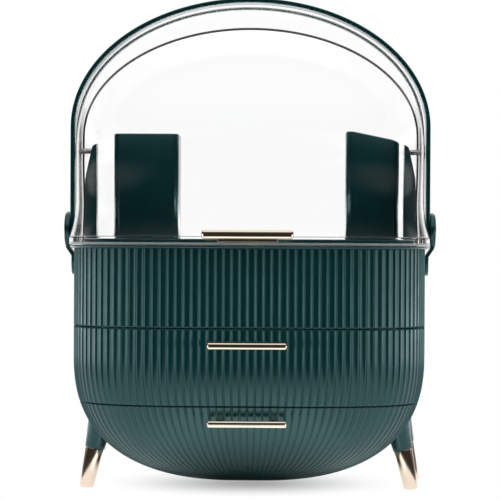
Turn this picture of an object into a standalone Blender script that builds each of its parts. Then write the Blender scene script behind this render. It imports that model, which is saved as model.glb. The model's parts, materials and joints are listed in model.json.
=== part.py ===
"""Egg-shaped makeup box: ribbed body with two drawers, a clear two-piece dome, a carry handle and four legs.

Metres, +Z up. The box faces -Y, stands on Z = 0, and its frame's origin is the middle of its footprint.
"""
import math

import bmesh
import bpy
from mathutils import Vector

# Body: a rounded-square plan (superellipse) over a bowl, with vertical ribs all round
body_half_width = 0.1411
body_half_depth = 0.1045
plan_power = 3.3
bowl_power = 2.5
bowl_spring_height = 0.110
bowl_drop = 0.1042
bowl_flat_share = 0.2
bowl_steps = 6
body_wall = 0.003
rib_pitch = 0.0065
rib_depth = 0.0011
rib_fade_shares = (0.3, 0.6)
rim_height = 0.1956
rim_bead_height = 0.0024
rim_bead_proud = 0.0032
rim_chamfer = 0.0006
upper_seam_height = 0.1314
lower_seam_height = 0.0711
seam_gap = 0.0006
side_seam_y = -0.028
seat_gap = 0.0003
smooth_columns = 48
tub_columns = 40

# Beside each handle pivot the rim bead and the foot of the dome die out
pivot_bay_half = 0.022
pivot_bay_blend = 0.012

# Well above the drawers, closed by the deck that the dome stands round
ledge_drop = 0.0031
ledge_height = rim_height - ledge_drop
ledge_thickness = 0.0025
ledge_width = 0.0036
deck_rabbet = 0.0004
deck_rise = 0.0049
deck_top_height = rim_height + deck_rise
deck_rim_width = 0.002
deck_recess = 0.0012
deck_wall = 0.0022

# Tall bins that stand on the deck
bin_wall = 0.0022
bin_corner = 0.006
bin_front_y = 0.005
left_bin_side_room = 0.0294
left_bin_outer_x = body_half_width - left_bin_side_room
left_bin_width = 0.053
left_bin_inner_x = left_bin_outer_x - left_bin_width
left_bin_back_y = 0.052
left_bin_height = 0.0860
left_bin_top = deck_top_height + left_bin_height
right_bin_side_room = 0.0197
right_bin_outer_x = body_half_width - right_bin_side_room
right_bin_width = 0.0436
right_bin_inner_x = right_bin_outer_x - right_bin_width
right_bin_back_y = 0.044
right_bin_height = 0.0885
right_bin_top = deck_top_height + right_bin_height
right_bin_top_fall = 0.009

# Dome: the front lid turns up and back over the fixed rear cover
lid_pivot_rise = 0.076
lid_pivot_height = rim_height + lid_pivot_rise
lid_wall = 0.002
lid_set_in = 0.0009
lid_half_width = body_half_width - lid_set_in
lid_half_depth = body_half_depth - lid_set_in
lid_cheek_radius = 0.0195
lid_belly = 0.0032
lid_front_radius = lid_half_depth + lid_belly
lid_top_swell = 0.0106
lid_top_radius = lid_front_radius + lid_top_swell
lid_back_edge_angle = 98.0
lid_belly_rise = 0.0294
lid_belly_height = rim_height + lid_belly_rise
cover_gap = 0.0006
rear_half_width = lid_half_width - lid_wall - cover_gap
rear_half_depth = lid_half_depth - lid_wall
rear_cheek_radius = 0.0122
rear_belly = 0.0004
rear_radius = rear_half_depth + rear_belly
rear_front_edge_angle = 94.0
lid_lip_gap = 0.0013
lid_lip_radius = rear_radius + lid_lip_gap
lid_lip_cheek_radius = rear_cheek_radius + seat_gap
lid_lip_half_width = rear_half_width + seat_gap
lid_lip_thickness = 0.002
lid_lug_radius = 0.008
lid_lug_proud = 0.0003
lid_arch_columns = 16
foot_height = 0.0064
foot_proud = 0.005
foot_inset = 0.001
flare_height = 0.0210
flare_height_shares = (0.333, 0.59, 1.0)
flare_proud_shares = (0.88, 0.53, 0.14)

# Ears and pins that carry the lid
ear_outer_x = rear_half_width - lid_wall - seat_gap
ear_thickness = 0.0105
ear_inner_x = ear_outer_x - ear_thickness
ear_half_depth = 0.008
ear_waist_inset = 0.0009
ear_neck_inset = 0.0071
ear_shoulder_drop = 0.0396
ear_waist_drop = 0.0226
ear_neck_rise = 0.0039
ear_top_rise = 0.0062
lid_pin_radius = 0.0023
lid_pin_clearance = 0.0003
lid_pin_head_radius = 0.006
lid_pin_head_thickness = 0.0009

# Gold pull bars
bar_height = 0.0052
bar_depth = 0.005
bar_edge = 0.001
drawer_bar_half_width = 0.0306
drawer_bar_standoff = 0.008
drawer_bar_drop = 0.0128
bar_post_width = 0.006
bar_post_height = 0.0034
bar_post_inset = 0.006
lid_bar_half_width = 0.0352
lid_bar_size_z = 0.0068
lid_bar_rise = 0.0084
lid_bar_standoff = 0.0045
lid_stem_half_width = 0.023
lid_stem_height = 0.0044
lid_stem_rise = 0.0048

# Drawer tubs hang by their side lips on runners
tub_wall = 0.0022
upper_tub_room = 0.0216
upper_tub_half_width = body_half_width - upper_tub_room
upper_tub_lift = 0.0029
upper_tub_floor = lower_seam_height + upper_tub_lift
tub_top_gap = 0.002
upper_tub_top = upper_seam_height - tub_top_gap
tub_floor_edge = 0.004
tub_back_clearance = 0.003
shelf_thickness = 0.0025
lower_tub_room = 0.0199
lower_tub_half_width = body_half_width - lower_tub_room
lower_tub_floor_gap = 0.0062
lower_tub_drop = bowl_drop - lower_tub_floor_gap
lower_tub_top = lower_seam_height - shelf_thickness - tub_top_gap
lip_thickness = 0.002
lip_drop = 0.0003
lip_width = 0.0042
upper_lip_room = 0.0385
upper_lip_back_y = body_half_depth - upper_lip_room
lower_lip_room = 0.0465
lower_lip_back_y = body_half_depth - lower_lip_room
lip_front_y = -0.060
runner_wall = 0.002
runner_side_gap = 0.0007
runner_tub_gap = 0.0007
runner_setback = 0.001
runner_front_y = side_seam_y + runner_setback
runner_back_inset = 0.004

# Carry handle: a flat strap bent to an arch, on two pivots
strap_thickness = 0.0034
strap_width = 0.022
strap_edge = 0.0008
handle_side_room = 0.0045
handle_half_width = body_half_width + handle_side_room
handle_spring_rise = 0.0195
handle_spring_height = lid_pivot_height + handle_spring_rise
handle_lid_gap = 0.0032
handle_top_height = lid_pivot_height + lid_top_radius + handle_lid_gap + strap_thickness
handle_pivot_rise = 0.0124
handle_pivot_height = rim_height + handle_pivot_rise
handle_arch_steps = 20
handle_bore_clearance = 0.0003
bracket_thickness = 0.0030
bracket_pad_half_width = 0.011
bracket_pad_drop = 0.024
bracket_pad_bottom = rim_height - bracket_pad_drop
bracket_jog_drop = 0.0088
bracket_pad_top = rim_height - bracket_jog_drop
bracket_jog_height = 0.0067
bracket_jog_top = bracket_pad_top + bracket_jog_height
bracket_head_radius = 0.0145
handle_pin_radius = 0.003
handle_pin_head_radius = 0.0055
handle_pin_head_thickness = 0.0010
cap_radius = 0.0135
cap_rise = 0.0016

# Legs: a green socket that grows out of the bowl, and a gold tip
leg_splay = 12.3
front_leg_y = -0.015
rear_leg_y = 0.052
front_leg_inset = 0.0169
front_leg_x = body_half_width - front_leg_inset
rear_leg_inset = 0.0124
rear_leg_x = body_half_width - rear_leg_inset
leg_joint_rise = 0.026
leg_joint_height = bowl_spring_height - bowl_drop + leg_joint_rise
socket_bottom_radius = 0.0081
socket_top_radius = 0.0118
socket_length = 0.034
socket_bore_depth = 0.004
tip_top_radius = 0.0076
tip_end_radius = 0.0057
tip_spigot_radius = 0.005
tip_spigot_length = 0.0035
tip_end_room = 0.00255
tip_taper_length = leg_joint_height / math.cos(math.radians(leg_splay)) - tip_end_room
tip_round_length = 0.0040
tip_round_length_shares = (0.55, 0.85, 1.0)
tip_round_radius_shares = (0.88, 0.62, 0.28)

overrun = 0.005
round_steps = 16
weld_distance = 0.000001
level_margin = 0.0001


def clear_scene():
    for item in list(bpy.data.objects):
        bpy.data.objects.remove(item, do_unlink=True)


def make_collection(name):
    group = bpy.data.collections.new(name)
    bpy.context.scene.collection.children.link(group)
    return group


def make_material(name, colour, roughness, metallic, transmission=0.0):
    finish = bpy.data.materials.new(name)
    finish.use_nodes = True
    shader = finish.node_tree.nodes["Principled BSDF"]
    shader.inputs["Base Color"].default_value = (*colour, 1.0)
    shader.inputs["Roughness"].default_value = roughness
    shader.inputs["Metallic"].default_value = metallic
    shader.inputs["Transmission Weight"].default_value = transmission
    finish.diffuse_color = (*colour, 1.0)
    return finish


def green_plastic(name):
    return make_material(name, (0.008, 0.075, 0.075), 0.25, 0.0)


def clear_plastic(name):
    return make_material(name, (0.96, 0.97, 0.98), 0.04, 0.0, 1.0)


def gold_plate(name):
    return make_material(name, (0.83, 0.58, 0.42), 0.14, 1.0)


def steel(name):
    return make_material(name, (0.60, 0.60, 0.60), 0.3, 1.0)


def mesh_object(name, bm, group):
    mesh = bpy.data.meshes.new(name)
    bm.to_mesh(mesh)
    bm.free()
    item = bpy.data.objects.new(name, mesh)
    group.objects.link(item)
    return item


def as_cutter(item):
    item.hide_render = True
    item.display_type = "WIRE"
    return item


def boolean(item, other, operation):
    step = item.modifiers.new(other.name, "BOOLEAN")
    step.operation = operation
    step.object = other
    step.solver = "EXACT"
    return item


def finish_piece(item, finish):
    item.data.materials.append(finish)
    item.data.shade_smooth()
    item.data.set_sharp_from_angle(angle=math.radians(30))
    return item


def loft(rows, ring_closed, rows_closed=False, caps=False):
    """Skin a grid of points: each row is joined to the next, and a ring's last point to its first."""
    bm = bmesh.new()
    grid = [[bm.verts.new(point) for point in row] for row in rows]
    row_pairs = list(zip(grid, grid[1:]))
    if rows_closed:
        row_pairs.append((grid[-1], grid[0]))
    for low, high in row_pairs:
        last = len(low) if ring_closed else len(low) - 1
        for index in range(last):
            following = (index + 1) % len(low)
            bm.faces.new((low[index], low[following], high[following], high[index]))
    if caps and ring_closed:
        bm.faces.new(grid[0])
        bm.faces.new(grid[-1])
    if caps and rows_closed:
        bm.faces.new([row[0] for row in grid])
        bm.faces.new([row[-1] for row in grid])
    bmesh.ops.remove_doubles(bm, verts=bm.verts, dist=weld_distance)
    bmesh.ops.dissolve_degenerate(bm, edges=bm.edges, dist=weld_distance)
    return bm


def closed_piece(name, rows, group, rows_closed=False, ring_closed=True):
    bm = loft(rows, ring_closed, rows_closed, caps=True)
    bmesh.ops.recalc_face_normals(bm, faces=bm.faces)
    return mesh_object(name, bm, group)


def open_shell(name, rows, group, wall, ring_closed=False, floor=False):
    """An open surface with its normals outwards, thickened inwards."""
    bm = loft(rows, ring_closed)
    if floor:
        bmesh.ops.contextual_create(bm, geom=lowest_edges(bm))
    bmesh.ops.recalc_face_normals(bm, faces=bm.faces)
    highest = max(bm.faces, key=lambda face: face.calc_center_median().z)
    lowest = min(bm.faces, key=lambda face: face.calc_center_median().z)
    inside_out = lowest.normal.z > 0 if floor else highest.normal.z < 0
    if inside_out:
        bmesh.ops.reverse_faces(bm, faces=bm.faces)
    item = mesh_object(name, bm, group)
    skin = item.modifiers.new("wall", "SOLIDIFY")
    skin.thickness = wall
    skin.offset = -1.0
    skin.use_even_offset = True
    return item


def lowest_edges(bm):
    bottom = min(vert.co.z for vert in bm.verts)
    return [edge for edge in bm.edges if all(vert.co.z < bottom + weld_distance for vert in edge.verts)]


def box_piece(name, low, high, group):
    bm = bmesh.new()
    bmesh.ops.create_cube(bm, size=1.0)
    for vert in bm.verts:
        shares = [coordinate + 0.5 for coordinate in vert.co]
        vert.co = [start + share * (end - start) for start, end, share in zip(low, high, shares)]
    return mesh_object(name, bm, group)


def turned_piece(name, profile, group, steps=round_steps):
    """A profile of (radius, height) points, from its top at the axis down to its bottom at the axis."""
    mesh = bpy.data.meshes.new(name)
    edges = [(index, index + 1) for index in range(len(profile) - 1)]
    mesh.from_pydata([(radius, 0, height) for radius, height in profile], edges, [])
    item = bpy.data.objects.new(name, mesh)
    group.objects.link(item)
    turn = item.modifiers.new("turn", "SCREW")
    turn.steps = steps
    turn.render_steps = steps
    turn.use_merge_vertices = True
    turn.merge_threshold = weld_distance
    turn.use_normal_calculate = False
    return item


def smooth_step(share):
    share = min(1.0, max(0.0, share))
    return share * share * (3.0 - 2.0 * share)


def bay_share(y):
    """0 beside a handle pivot, 1 clear of it."""
    return smooth_step((abs(y) - pivot_bay_half) / pivot_bay_blend)


def superellipse_point(angle, half_width, half_depth, power=plan_power):
    across = math.cos(angle)
    along = math.sin(angle)
    x = half_width * math.copysign(abs(across) ** (2.0 / power), across)
    y = half_depth * math.copysign(abs(along) ** (2.0 / power), along)
    return x, y


def plan_ring(half_width, front_depth, back_depth, count):
    """Points evenly spaced by length round the plan, from the front's middle towards +X."""
    fine_count = 2880
    fine = []
    for index in range(fine_count + 1):
        angle = 2.0 * math.pi * index / fine_count - math.pi / 2.0
        depth = front_depth if math.sin(angle) < 0 else back_depth
        fine.append(superellipse_point(angle, half_width, depth))
    travelled = [0.0]
    for start, end in zip(fine, fine[1:]):
        travelled.append(travelled[-1] + math.dist(start, end))
    ring = []
    place = 0
    for index in range(count):
        target = travelled[-1] * index / count
        while travelled[place + 1] < target:
            place += 1
        step = travelled[place + 1] - travelled[place]
        share = (target - travelled[place]) / step if step else 0.0
        start = fine[place]
        end = fine[place + 1]
        ring.append((start[0] + share * (end[0] - start[0]), start[1] + share * (end[1] - start[1])))
    return ring, travelled[-1]


def plan_normal(point, half_width, half_depth):
    x, y = point
    across = math.copysign(abs(x / half_width) ** (plan_power - 1.0), x) / half_width
    along = math.copysign(abs(y / half_depth) ** (plan_power - 1.0), y) / half_depth
    return Vector((across, along)).normalized()


def bowl_table(drop=bowl_drop):
    """(height, share of the full plan) up the bowl, at equal turns of its curve."""
    first = math.asin(bowl_flat_share ** (bowl_power / 2.0))
    table = []
    for index in range(bowl_steps + 1):
        turn = first + (math.pi / 2.0 - first) * index / bowl_steps
        depth_share = abs(math.cos(turn)) ** (2.0 / bowl_power) if index < bowl_steps else 0.0
        table.append((bowl_spring_height - drop * depth_share, math.sin(turn) ** (2.0 / bowl_power)))
    return table


def bowl_share(height, drop=bowl_drop):
    """How much of its full plan the bowl has at a height, straight between the table's levels."""
    table = bowl_table(drop)
    for (low, low_share), (high, high_share) in zip(table, table[1:]):
        if height <= high:
            return low_share + (high_share - low_share) * (height - low) / (high - low)
    return 1.0


def bowl_floor(drop=bowl_drop):
    return bowl_table(drop)[0][0]


def bowl_levels(low, high, drop=bowl_drop):
    """The table's heights between two heights, with both of them."""
    between = [height for height, share in bowl_table(drop)
               if low + level_margin < height < high - level_margin]
    return [low] + between + [high]


def rib_columns():
    around = plan_ring(body_half_width, body_half_depth, body_half_depth, 4)[1]
    return 2 * 4 * round(around / (4 * rib_pitch))


def ribbed_row(height, columns=None):
    """One ring of the ribbed body: ridge tips on the plan, flutes between them cut in."""
    ring, _ = plan_ring(body_half_width, body_half_depth, body_half_depth, columns or rib_columns())
    share = bowl_share(height)
    low_share, full_share = rib_fade_shares
    fade = min(1.0, max(0.0, (share - low_share) / (full_share - low_share)))
    row = []
    for index, point in enumerate(ring):
        normal = plan_normal(point, body_half_width, body_half_depth)
        inset = rib_depth * fade * (index % 2)
        row.append((point[0] * share - normal.x * inset, point[1] * share - normal.y * inset, height))
    return row


def bead_row(height, proud):
    """One ring of the rim bead, which dies out beside the handle pivots."""
    ring, _ = plan_ring(body_half_width, body_half_depth, body_half_depth, rib_columns())
    row = []
    for point in ring:
        normal = plan_normal(point, body_half_width, body_half_depth)
        offset = proud * bay_share(point[1]) - rim_chamfer * (1.0 - bay_share(point[1]))
        row.append((point[0] + normal.x * offset, point[1] + normal.y * offset, height))
    return row


def smooth_row(half_width, front_depth, back_depth, share, height, columns=smooth_columns):
    ring, _ = plan_ring(half_width, front_depth, back_depth, columns)
    return [(x * share, y * share, height) for x, y in ring]


def plan_plate(name, half_width, half_depth, low, high, group):
    rows = [smooth_row(half_width, half_depth, half_depth, 1.0, height) for height in (low, high)]
    return closed_piece(name, rows, group)


def bowl_hollow(name, high, group):
    """The smooth inside of the bowl, one wall in from the ridge tips."""
    drop = bowl_drop - body_wall
    half_width = body_half_width - body_wall
    half_depth = body_half_depth - body_wall
    rows = []
    for height in bowl_levels(bowl_floor(drop), high, drop):
        rows.append(smooth_row(half_width, half_depth, half_depth, bowl_share(height, drop), height))
    return as_cutter(closed_piece(name, rows, group))


def side_block(name, behind_seam, gap, group):
    """Everything in front of the side seam, or everything behind it."""
    reach = body_half_width + foot_proud + overrun
    top = rim_height
    if behind_seam:
        return as_cutter(box_piece(name, (-reach, side_seam_y - gap, -overrun), (reach, reach, top), group))
    return as_cutter(box_piece(name, (-reach, -reach, -overrun), (reach, side_seam_y, top), group))


def body_shell(name, low, high, hollow, block, group):
    rows = [ribbed_row(height) for height in bowl_levels(low, high)]
    item = closed_piece(name, rows, group)
    boolean(item, hollow, "DIFFERENCE")
    boolean(item, block, "DIFFERENCE")
    return item


def build_body(parts, cutters):
    """Housing, upper body with its well, deck and the shelf between the drawers."""
    hollow = bowl_hollow("bowl_hollow", upper_seam_height + overrun, cutters)
    front_block = side_block("front_block", False, 0, cutters)
    housing = body_shell("housing", bowl_floor(), upper_seam_height, hollow, front_block, parts)
    finish_piece(housing, green_plastic("housing_green"))

    well_half_width = body_half_width - body_wall
    well_half_depth = body_half_depth - body_wall
    body_bottom = upper_seam_height + seat_gap
    bead_bottom = rim_height - rim_bead_height
    rows = [ribbed_row(body_bottom), ribbed_row(bead_bottom - rim_chamfer)]
    rows.append(bead_row(bead_bottom, rim_bead_proud))
    rows.append(bead_row(rim_height, rim_bead_proud))
    upper = closed_piece("upper_body", rows, parts)
    ledge_bottom = ledge_height - ledge_thickness
    well = plan_plate("well", well_half_width, well_half_depth, body_bottom + body_wall, ledge_bottom, cutters)
    throat_half_width = well_half_width - ledge_width
    throat_half_depth = well_half_depth - ledge_width
    throat = plan_plate("well_throat", throat_half_width, throat_half_depth,
                        ledge_bottom - overrun, ledge_height + overrun, cutters)
    mouth = plan_plate("well_mouth", well_half_width, well_half_depth,
                       ledge_height, rim_height + overrun, cutters)
    for cutter in (well, throat, mouth):
        boolean(upper, as_cutter(cutter), "DIFFERENCE")
    finish_piece(upper, green_plastic("upper_body_green"))

    deck_low_width = well_half_width - deck_rabbet
    deck_low_depth = well_half_depth - deck_rabbet
    deck_width = rear_half_width - lid_wall - seat_gap
    deck_depth = rear_half_depth - lid_wall - seat_gap
    deck_bottom = ledge_height + seat_gap
    rows = []
    for half_width, half_depth, height in ((deck_low_width, deck_low_depth, deck_bottom),
                                           (deck_low_width, deck_low_depth, rim_height),
                                           (deck_width, deck_depth, rim_height),
                                           (deck_width, deck_depth, deck_top_height)):
        rows.append(smooth_row(half_width, half_depth, half_depth, 1.0, height))
    deck = closed_piece("display_deck", rows, parts)
    recess = plan_plate("deck_recess", deck_width - deck_rim_width, deck_depth - deck_rim_width,
                        deck_top_height - deck_recess, deck_top_height + overrun, cutters)
    underside = plan_plate("deck_underside", deck_width - deck_rim_width, deck_depth - deck_rim_width,
                           deck_bottom - overrun, deck_top_height - deck_recess - deck_wall, cutters)
    for cutter in (recess, underside):
        boolean(deck, as_cutter(cutter), "DIFFERENCE")
    finish_piece(deck, green_plastic("display_deck_green"))

    shelf_top = lower_seam_height
    shelf_bottom = shelf_top - shelf_thickness
    share = bowl_share(shelf_bottom, bowl_drop - body_wall)
    rows = []
    for height in (shelf_bottom, shelf_top):
        half_width = well_half_width * share - seat_gap
        half_depth = well_half_depth * share - seat_gap
        rows.append(smooth_row(half_width, half_depth, half_depth, 1.0, height))
    shelf = closed_piece("drawer_shelf", rows, parts)
    boolean(shelf, front_block, "DIFFERENCE")
    finish_piece(shelf, green_plastic("drawer_shelf_green"))
    return hollow


def rounded_box_ring(low_x, high_x, low_y, high_y, corner, inset):
    """A box seen from above with rounded corners, three points to a corner."""
    low_x, high_x, low_y, high_y = low_x + inset, high_x - inset, low_y + inset, high_y - inset
    radius = max(corner - inset, weld_distance)
    centres = ((high_x - radius, low_y + radius, -90), (high_x - radius, high_y - radius, 0),
               (low_x + radius, high_y - radius, 90), (low_x + radius, low_y + radius, 180))
    ring = []
    for x, y, start in centres:
        for turn in (0, 45, 90):
            angle = math.radians(start + turn)
            ring.append((x + radius * math.cos(angle), y + radius * math.sin(angle)))
    return ring


def build_bin(name, low_x, high_x, back_y, top, top_fall, parts):
    """A tall open bin; its top may fall towards its outer side."""
    floor = deck_top_height - deck_recess + seat_gap
    edge = bin_wall
    rows = []
    for height, inset in ((floor, edge), (floor + edge, 0), (top, 0)):
        ring = rounded_box_ring(low_x, high_x, bin_front_y, back_y, bin_corner, inset)
        row = []
        for x, y in ring:
            fall_share = (x - low_x) / (high_x - low_x)
            fall = top_fall * fall_share * fall_share if height == top else 0.0
            row.append((x, y, height - fall))
        rows.append(row)
    item = open_shell(name, rows, parts, bin_wall, ring_closed=True, floor=True)
    return finish_piece(item, green_plastic(name + "_green"))


def foot_offsets():
    """(height, how far proud) up the foot and flare of a dome piece."""
    base = rim_height + seat_gap
    offsets = [(base, -foot_inset), (base, foot_proud), (base + foot_height, foot_proud)]
    for height_share, share in zip(flare_height_shares, flare_proud_shares):
        offsets.append((base + flare_height * height_share, foot_proud * share))
    return offsets


def dome_columns():
    return [math.radians(-90.0 + 180.0 * index / lid_arch_columns) for index in range(lid_arch_columns + 1)]


def wall_row(height, proud, half_width, half_depth, cheek_radius, rise_share, belly_radius, facing):
    """One level of a dome piece's lower wall, from its left edge round the front (or the back) to its right."""
    lean = math.acos((cheek_radius / half_depth) ** (plan_power / 2.0))
    points = [(-half_width, 0.0)]
    for turn in dome_columns():
        across = math.sin(turn * lean / (math.pi / 2.0))
        along = math.cos(turn * lean / (math.pi / 2.0))
        x = half_width * math.copysign(abs(across) ** (2.0 / plan_power), across)
        y = half_depth * abs(along) ** (2.0 / plan_power)
        round_x = half_width * math.sin(turn)
        round_y = cheek_radius + (belly_radius - cheek_radius) * math.cos(turn)
        points.append((x + rise_share * (round_x - x), y + rise_share * (round_y - y)))
    points.append((half_width, 0.0))
    row = []
    for x, y in points:
        reach = proud * (bay_share(y) if proud > 0 else 1.0)
        normal = plan_normal((x, y), half_width, half_depth) if y else Vector((math.copysign(1.0, x), 0.0))
        row.append((x + normal.x * reach, facing * (y + normal.y * reach), height))
    return row


def arch_row(angle, radius, half_width, cheek_radius, with_poles=True):
    """An arch over the lid's axis, in the plane at an angle up from the front."""
    turn_up = math.radians(angle)
    points = []
    if with_poles:
        points.append((-half_width, 0.0))
    for turn in dome_columns():
        points.append((half_width * math.sin(turn), cheek_radius + (radius - cheek_radius) * math.cos(turn)))
    if with_poles:
        points.append((half_width, 0.0))
    row = []
    for x, reach in points:
        row.append((x, -reach * math.cos(turn_up), lid_pivot_height + reach * math.sin(turn_up)))
    return row


def lid_radius(angle):
    return lid_front_radius + (lid_top_radius - lid_front_radius) * math.sin(math.radians(min(angle, 90.0))) ** 2


def side_cylinder(name, x_low, x_high, y, z, radius, group):
    """A cylinder along X."""
    bm = bmesh.new()
    bmesh.ops.create_cone(bm, cap_ends=True, segments=round_steps, radius1=radius, radius2=radius,
                          depth=x_high - x_low)
    item = mesh_object(name, bm, group)
    item.rotation_euler = (0, math.radians(90), 0)
    item.location = ((x_low + x_high) / 2.0, y, z)
    return item


def add_lugs(item, half_width, wall, name, cutters):
    """A round lug at each end of the lid's axis, drilled for the pins."""
    for side, word in ((-1, "left"), (1, "right")):
        near = half_width - wall - lid_lug_proud / 2.0
        far = half_width + lid_lug_proud / 2.0
        low, high = sorted((side * near, side * far))
        lug = side_cylinder(name + "_lug_" + word, low, high, 0, lid_pivot_height, lid_lug_radius, cutters)
        boolean(item, as_cutter(lug), "UNION")
    for side, word in ((-1, "left"), (1, "right")):
        low, high = sorted((side * (half_width - overrun), side * (half_width + overrun)))
        bore = side_cylinder(name + "_bore_" + word, low, high, 0, lid_pivot_height,
                             lid_pin_radius + lid_pin_clearance, cutters)
        boolean(item, as_cutter(bore), "DIFFERENCE")


def build_lid(parts, cutters):
    """The clear front lid, with the lip that rides over the rear cover."""
    rows = []
    for height, proud in foot_offsets():
        rows.append(wall_row(height, proud, lid_half_width, lid_half_depth, lid_cheek_radius,
                             0.0, lid_front_radius, -1))
    for rise_share in (0.0, 0.5):
        height = lid_belly_height + rise_share * (lid_pivot_height - lid_belly_height)
        rows.append(wall_row(height, 0, lid_half_width, lid_half_depth, lid_cheek_radius,
                             smooth_step(rise_share), lid_front_radius, -1))
    for index in range(7):
        angle = lid_back_edge_angle * index / 6
        rows.append(arch_row(angle, lid_radius(angle), lid_half_width, lid_cheek_radius))
    lid = open_shell("lid_front_cover", rows, parts, lid_wall)

    half_wall = lid_wall / 2.0
    behind = math.degrees(lid_lip_thickness / lid_top_radius)
    lip_rows = []
    for angle, radius, half_width, cheek in (
            (lid_back_edge_angle - behind, lid_top_radius - half_wall, lid_half_width - half_wall,
             lid_cheek_radius - half_wall),
            (lid_back_edge_angle - behind, lid_lip_radius, lid_lip_half_width, lid_lip_cheek_radius),
            (lid_back_edge_angle, lid_lip_radius, lid_lip_half_width, lid_lip_cheek_radius),
            (lid_back_edge_angle, lid_top_radius - half_wall, lid_half_width - half_wall,
             lid_cheek_radius - half_wall)):
        lip_rows.append(arch_row(angle, radius, half_width, cheek, with_poles=False))
    lip = closed_piece("lid_lip", lip_rows, cutters, rows_closed=True, ring_closed=False)
    boolean(lid, as_cutter(lip), "UNION")
    add_lugs(lid, lid_half_width, lid_wall, "lid", cutters)
    return finish_piece(lid, clear_plastic("lid_front_clear"))


def build_rear_cover(parts, cutters):
    rows = []
    for height, proud in foot_offsets():
        rows.append(wall_row(height, proud, rear_half_width, rear_half_depth, rear_cheek_radius,
                             0.0, rear_radius, 1))
    for rise_share in (0.0, 0.5):
        height = lid_belly_height + rise_share * (lid_pivot_height - lid_belly_height)
        rows.append(wall_row(height, 0, rear_half_width, rear_half_depth, rear_cheek_radius,
                             smooth_step(rise_share), rear_radius, 1))
    for index in range(6):
        angle = 180.0 - (180.0 - rear_front_edge_angle) * index / 5
        rows.append(arch_row(angle, rear_radius, rear_half_width, rear_cheek_radius))
    cover = open_shell("lid_rear_cover", rows, parts, lid_wall)
    add_lugs(cover, rear_half_width, lid_wall, "rear_cover", cutters)
    return finish_piece(cover, clear_plastic("lid_rear_clear"))


def build_ears(parts, cutters):
    """Green ears inside the dome, one each side, and the pins that the lid turns on."""
    outline = ((ear_inner_x, deck_top_height + seat_gap), (ear_outer_x, deck_top_height + seat_gap),
               (ear_outer_x, lid_pivot_height - ear_shoulder_drop),
               (ear_outer_x - ear_waist_inset, lid_pivot_height - ear_waist_drop),
               (ear_outer_x - ear_neck_inset, lid_pivot_height + ear_neck_rise),
               (ear_inner_x, lid_pivot_height + ear_top_rise))
    for side, word in ((-1, "left"), (1, "right")):
        rows = []
        for y in (-ear_half_depth, ear_half_depth):
            rows.append([(side * x, y, z) for x, z in outline])
        ear = closed_piece("lid_ear_" + word, rows, parts)
        low, high = sorted((side * (ear_inner_x - overrun), side * (ear_outer_x + overrun)))
        bore = side_cylinder("ear_bore_" + word, low, high, 0, lid_pivot_height,
                             lid_pin_radius + lid_pin_clearance, cutters)
        boolean(ear, as_cutter(bore), "DIFFERENCE")
        finish_piece(ear, green_plastic("lid_ear_green_" + word))

        head_start = lid_half_width + lid_lug_proud
        profile = [(0, head_start + lid_pin_head_thickness),
                   (lid_pin_head_radius, head_start + lid_pin_head_thickness),
                   (lid_pin_head_radius, head_start), (lid_pin_radius, head_start),
                   (lid_pin_radius, ear_inner_x), (0, ear_inner_x)]
        pin = turned_piece("lid_pin_" + word, profile, parts, 12)
        pin.rotation_euler = (0, math.radians(90 * side), 0)
        pin.location = (0, 0, lid_pivot_height)
        finish_piece(pin, steel("lid_pin_steel_" + word))


def bar_handle(name, half_width, size_z, middle, wall_y, standoff, posts, post_height, post_middle, parts, cutters):
    """A gold bar in front of a wall, on posts; posts lists their left and right sides."""
    back_y = wall_y - standoff
    bar = box_piece(name, (-half_width, back_y - bar_depth, middle - size_z / 2.0),
                    (half_width, back_y, middle + size_z / 2.0), parts)
    edge = bar.modifiers.new("edge", "BEVEL")
    edge.width = bar_edge
    edge.segments = 1
    edge.limit_method = "NONE"
    for index, (left, right) in enumerate(posts):
        post = box_piece(name + "_post_" + str(index), (left, back_y - bar_edge, post_middle - post_height / 2.0),
                         (right, wall_y - seat_gap, post_middle + post_height / 2.0), cutters)
        boolean(bar, as_cutter(post), "UNION")
    return finish_piece(bar, gold_plate(name + "_gold"))


def drawer_posts():
    outer = drawer_bar_half_width - bar_post_inset
    inner = outer - bar_post_width
    return ((-outer, -inner), (inner, outer))


def tub_lips(tub, name, tub_half_width, back_y, top, cutters):
    """Straight lips along both sides of a tub, which ride on the runners."""
    for side, word in ((-1, "left"), (1, "right")):
        near = side * (tub_half_width - tub_wall / 2.0)
        far = side * (tub_half_width + lip_width)
        low, high = sorted((near, far))
        lip_top = top - lip_drop
        lip = box_piece(name + "_lip_" + word, (low, lip_front_y, lip_top - lip_thickness),
                        (high, back_y, lip_top), cutters)
        boolean(tub, as_cutter(lip), "UNION")


def runner(name, side, tub_half_width, tub_top, hung_from, back_y, parts):
    """An angle rail hung under a floor; its foot carries a tub's lip."""
    foot_top = tub_top - lip_drop - lip_thickness - seat_gap
    foot_bottom = foot_top - runner_wall
    inner = tub_half_width + runner_tub_gap
    web_inner = tub_half_width + lip_width + runner_side_gap
    outer = web_inner + runner_wall
    top = hung_from - seat_gap
    outline = ((inner, foot_bottom), (outer, foot_bottom), (outer, top), (web_inner, top),
               (web_inner, foot_top), (inner, foot_top))
    rows = []
    for y in (runner_front_y, back_y):
        rows.append([(side * x, y, z) for x, z in outline])
    item = closed_piece(name, rows, parts)
    return finish_piece(item, green_plastic(name + "_green"))


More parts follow.
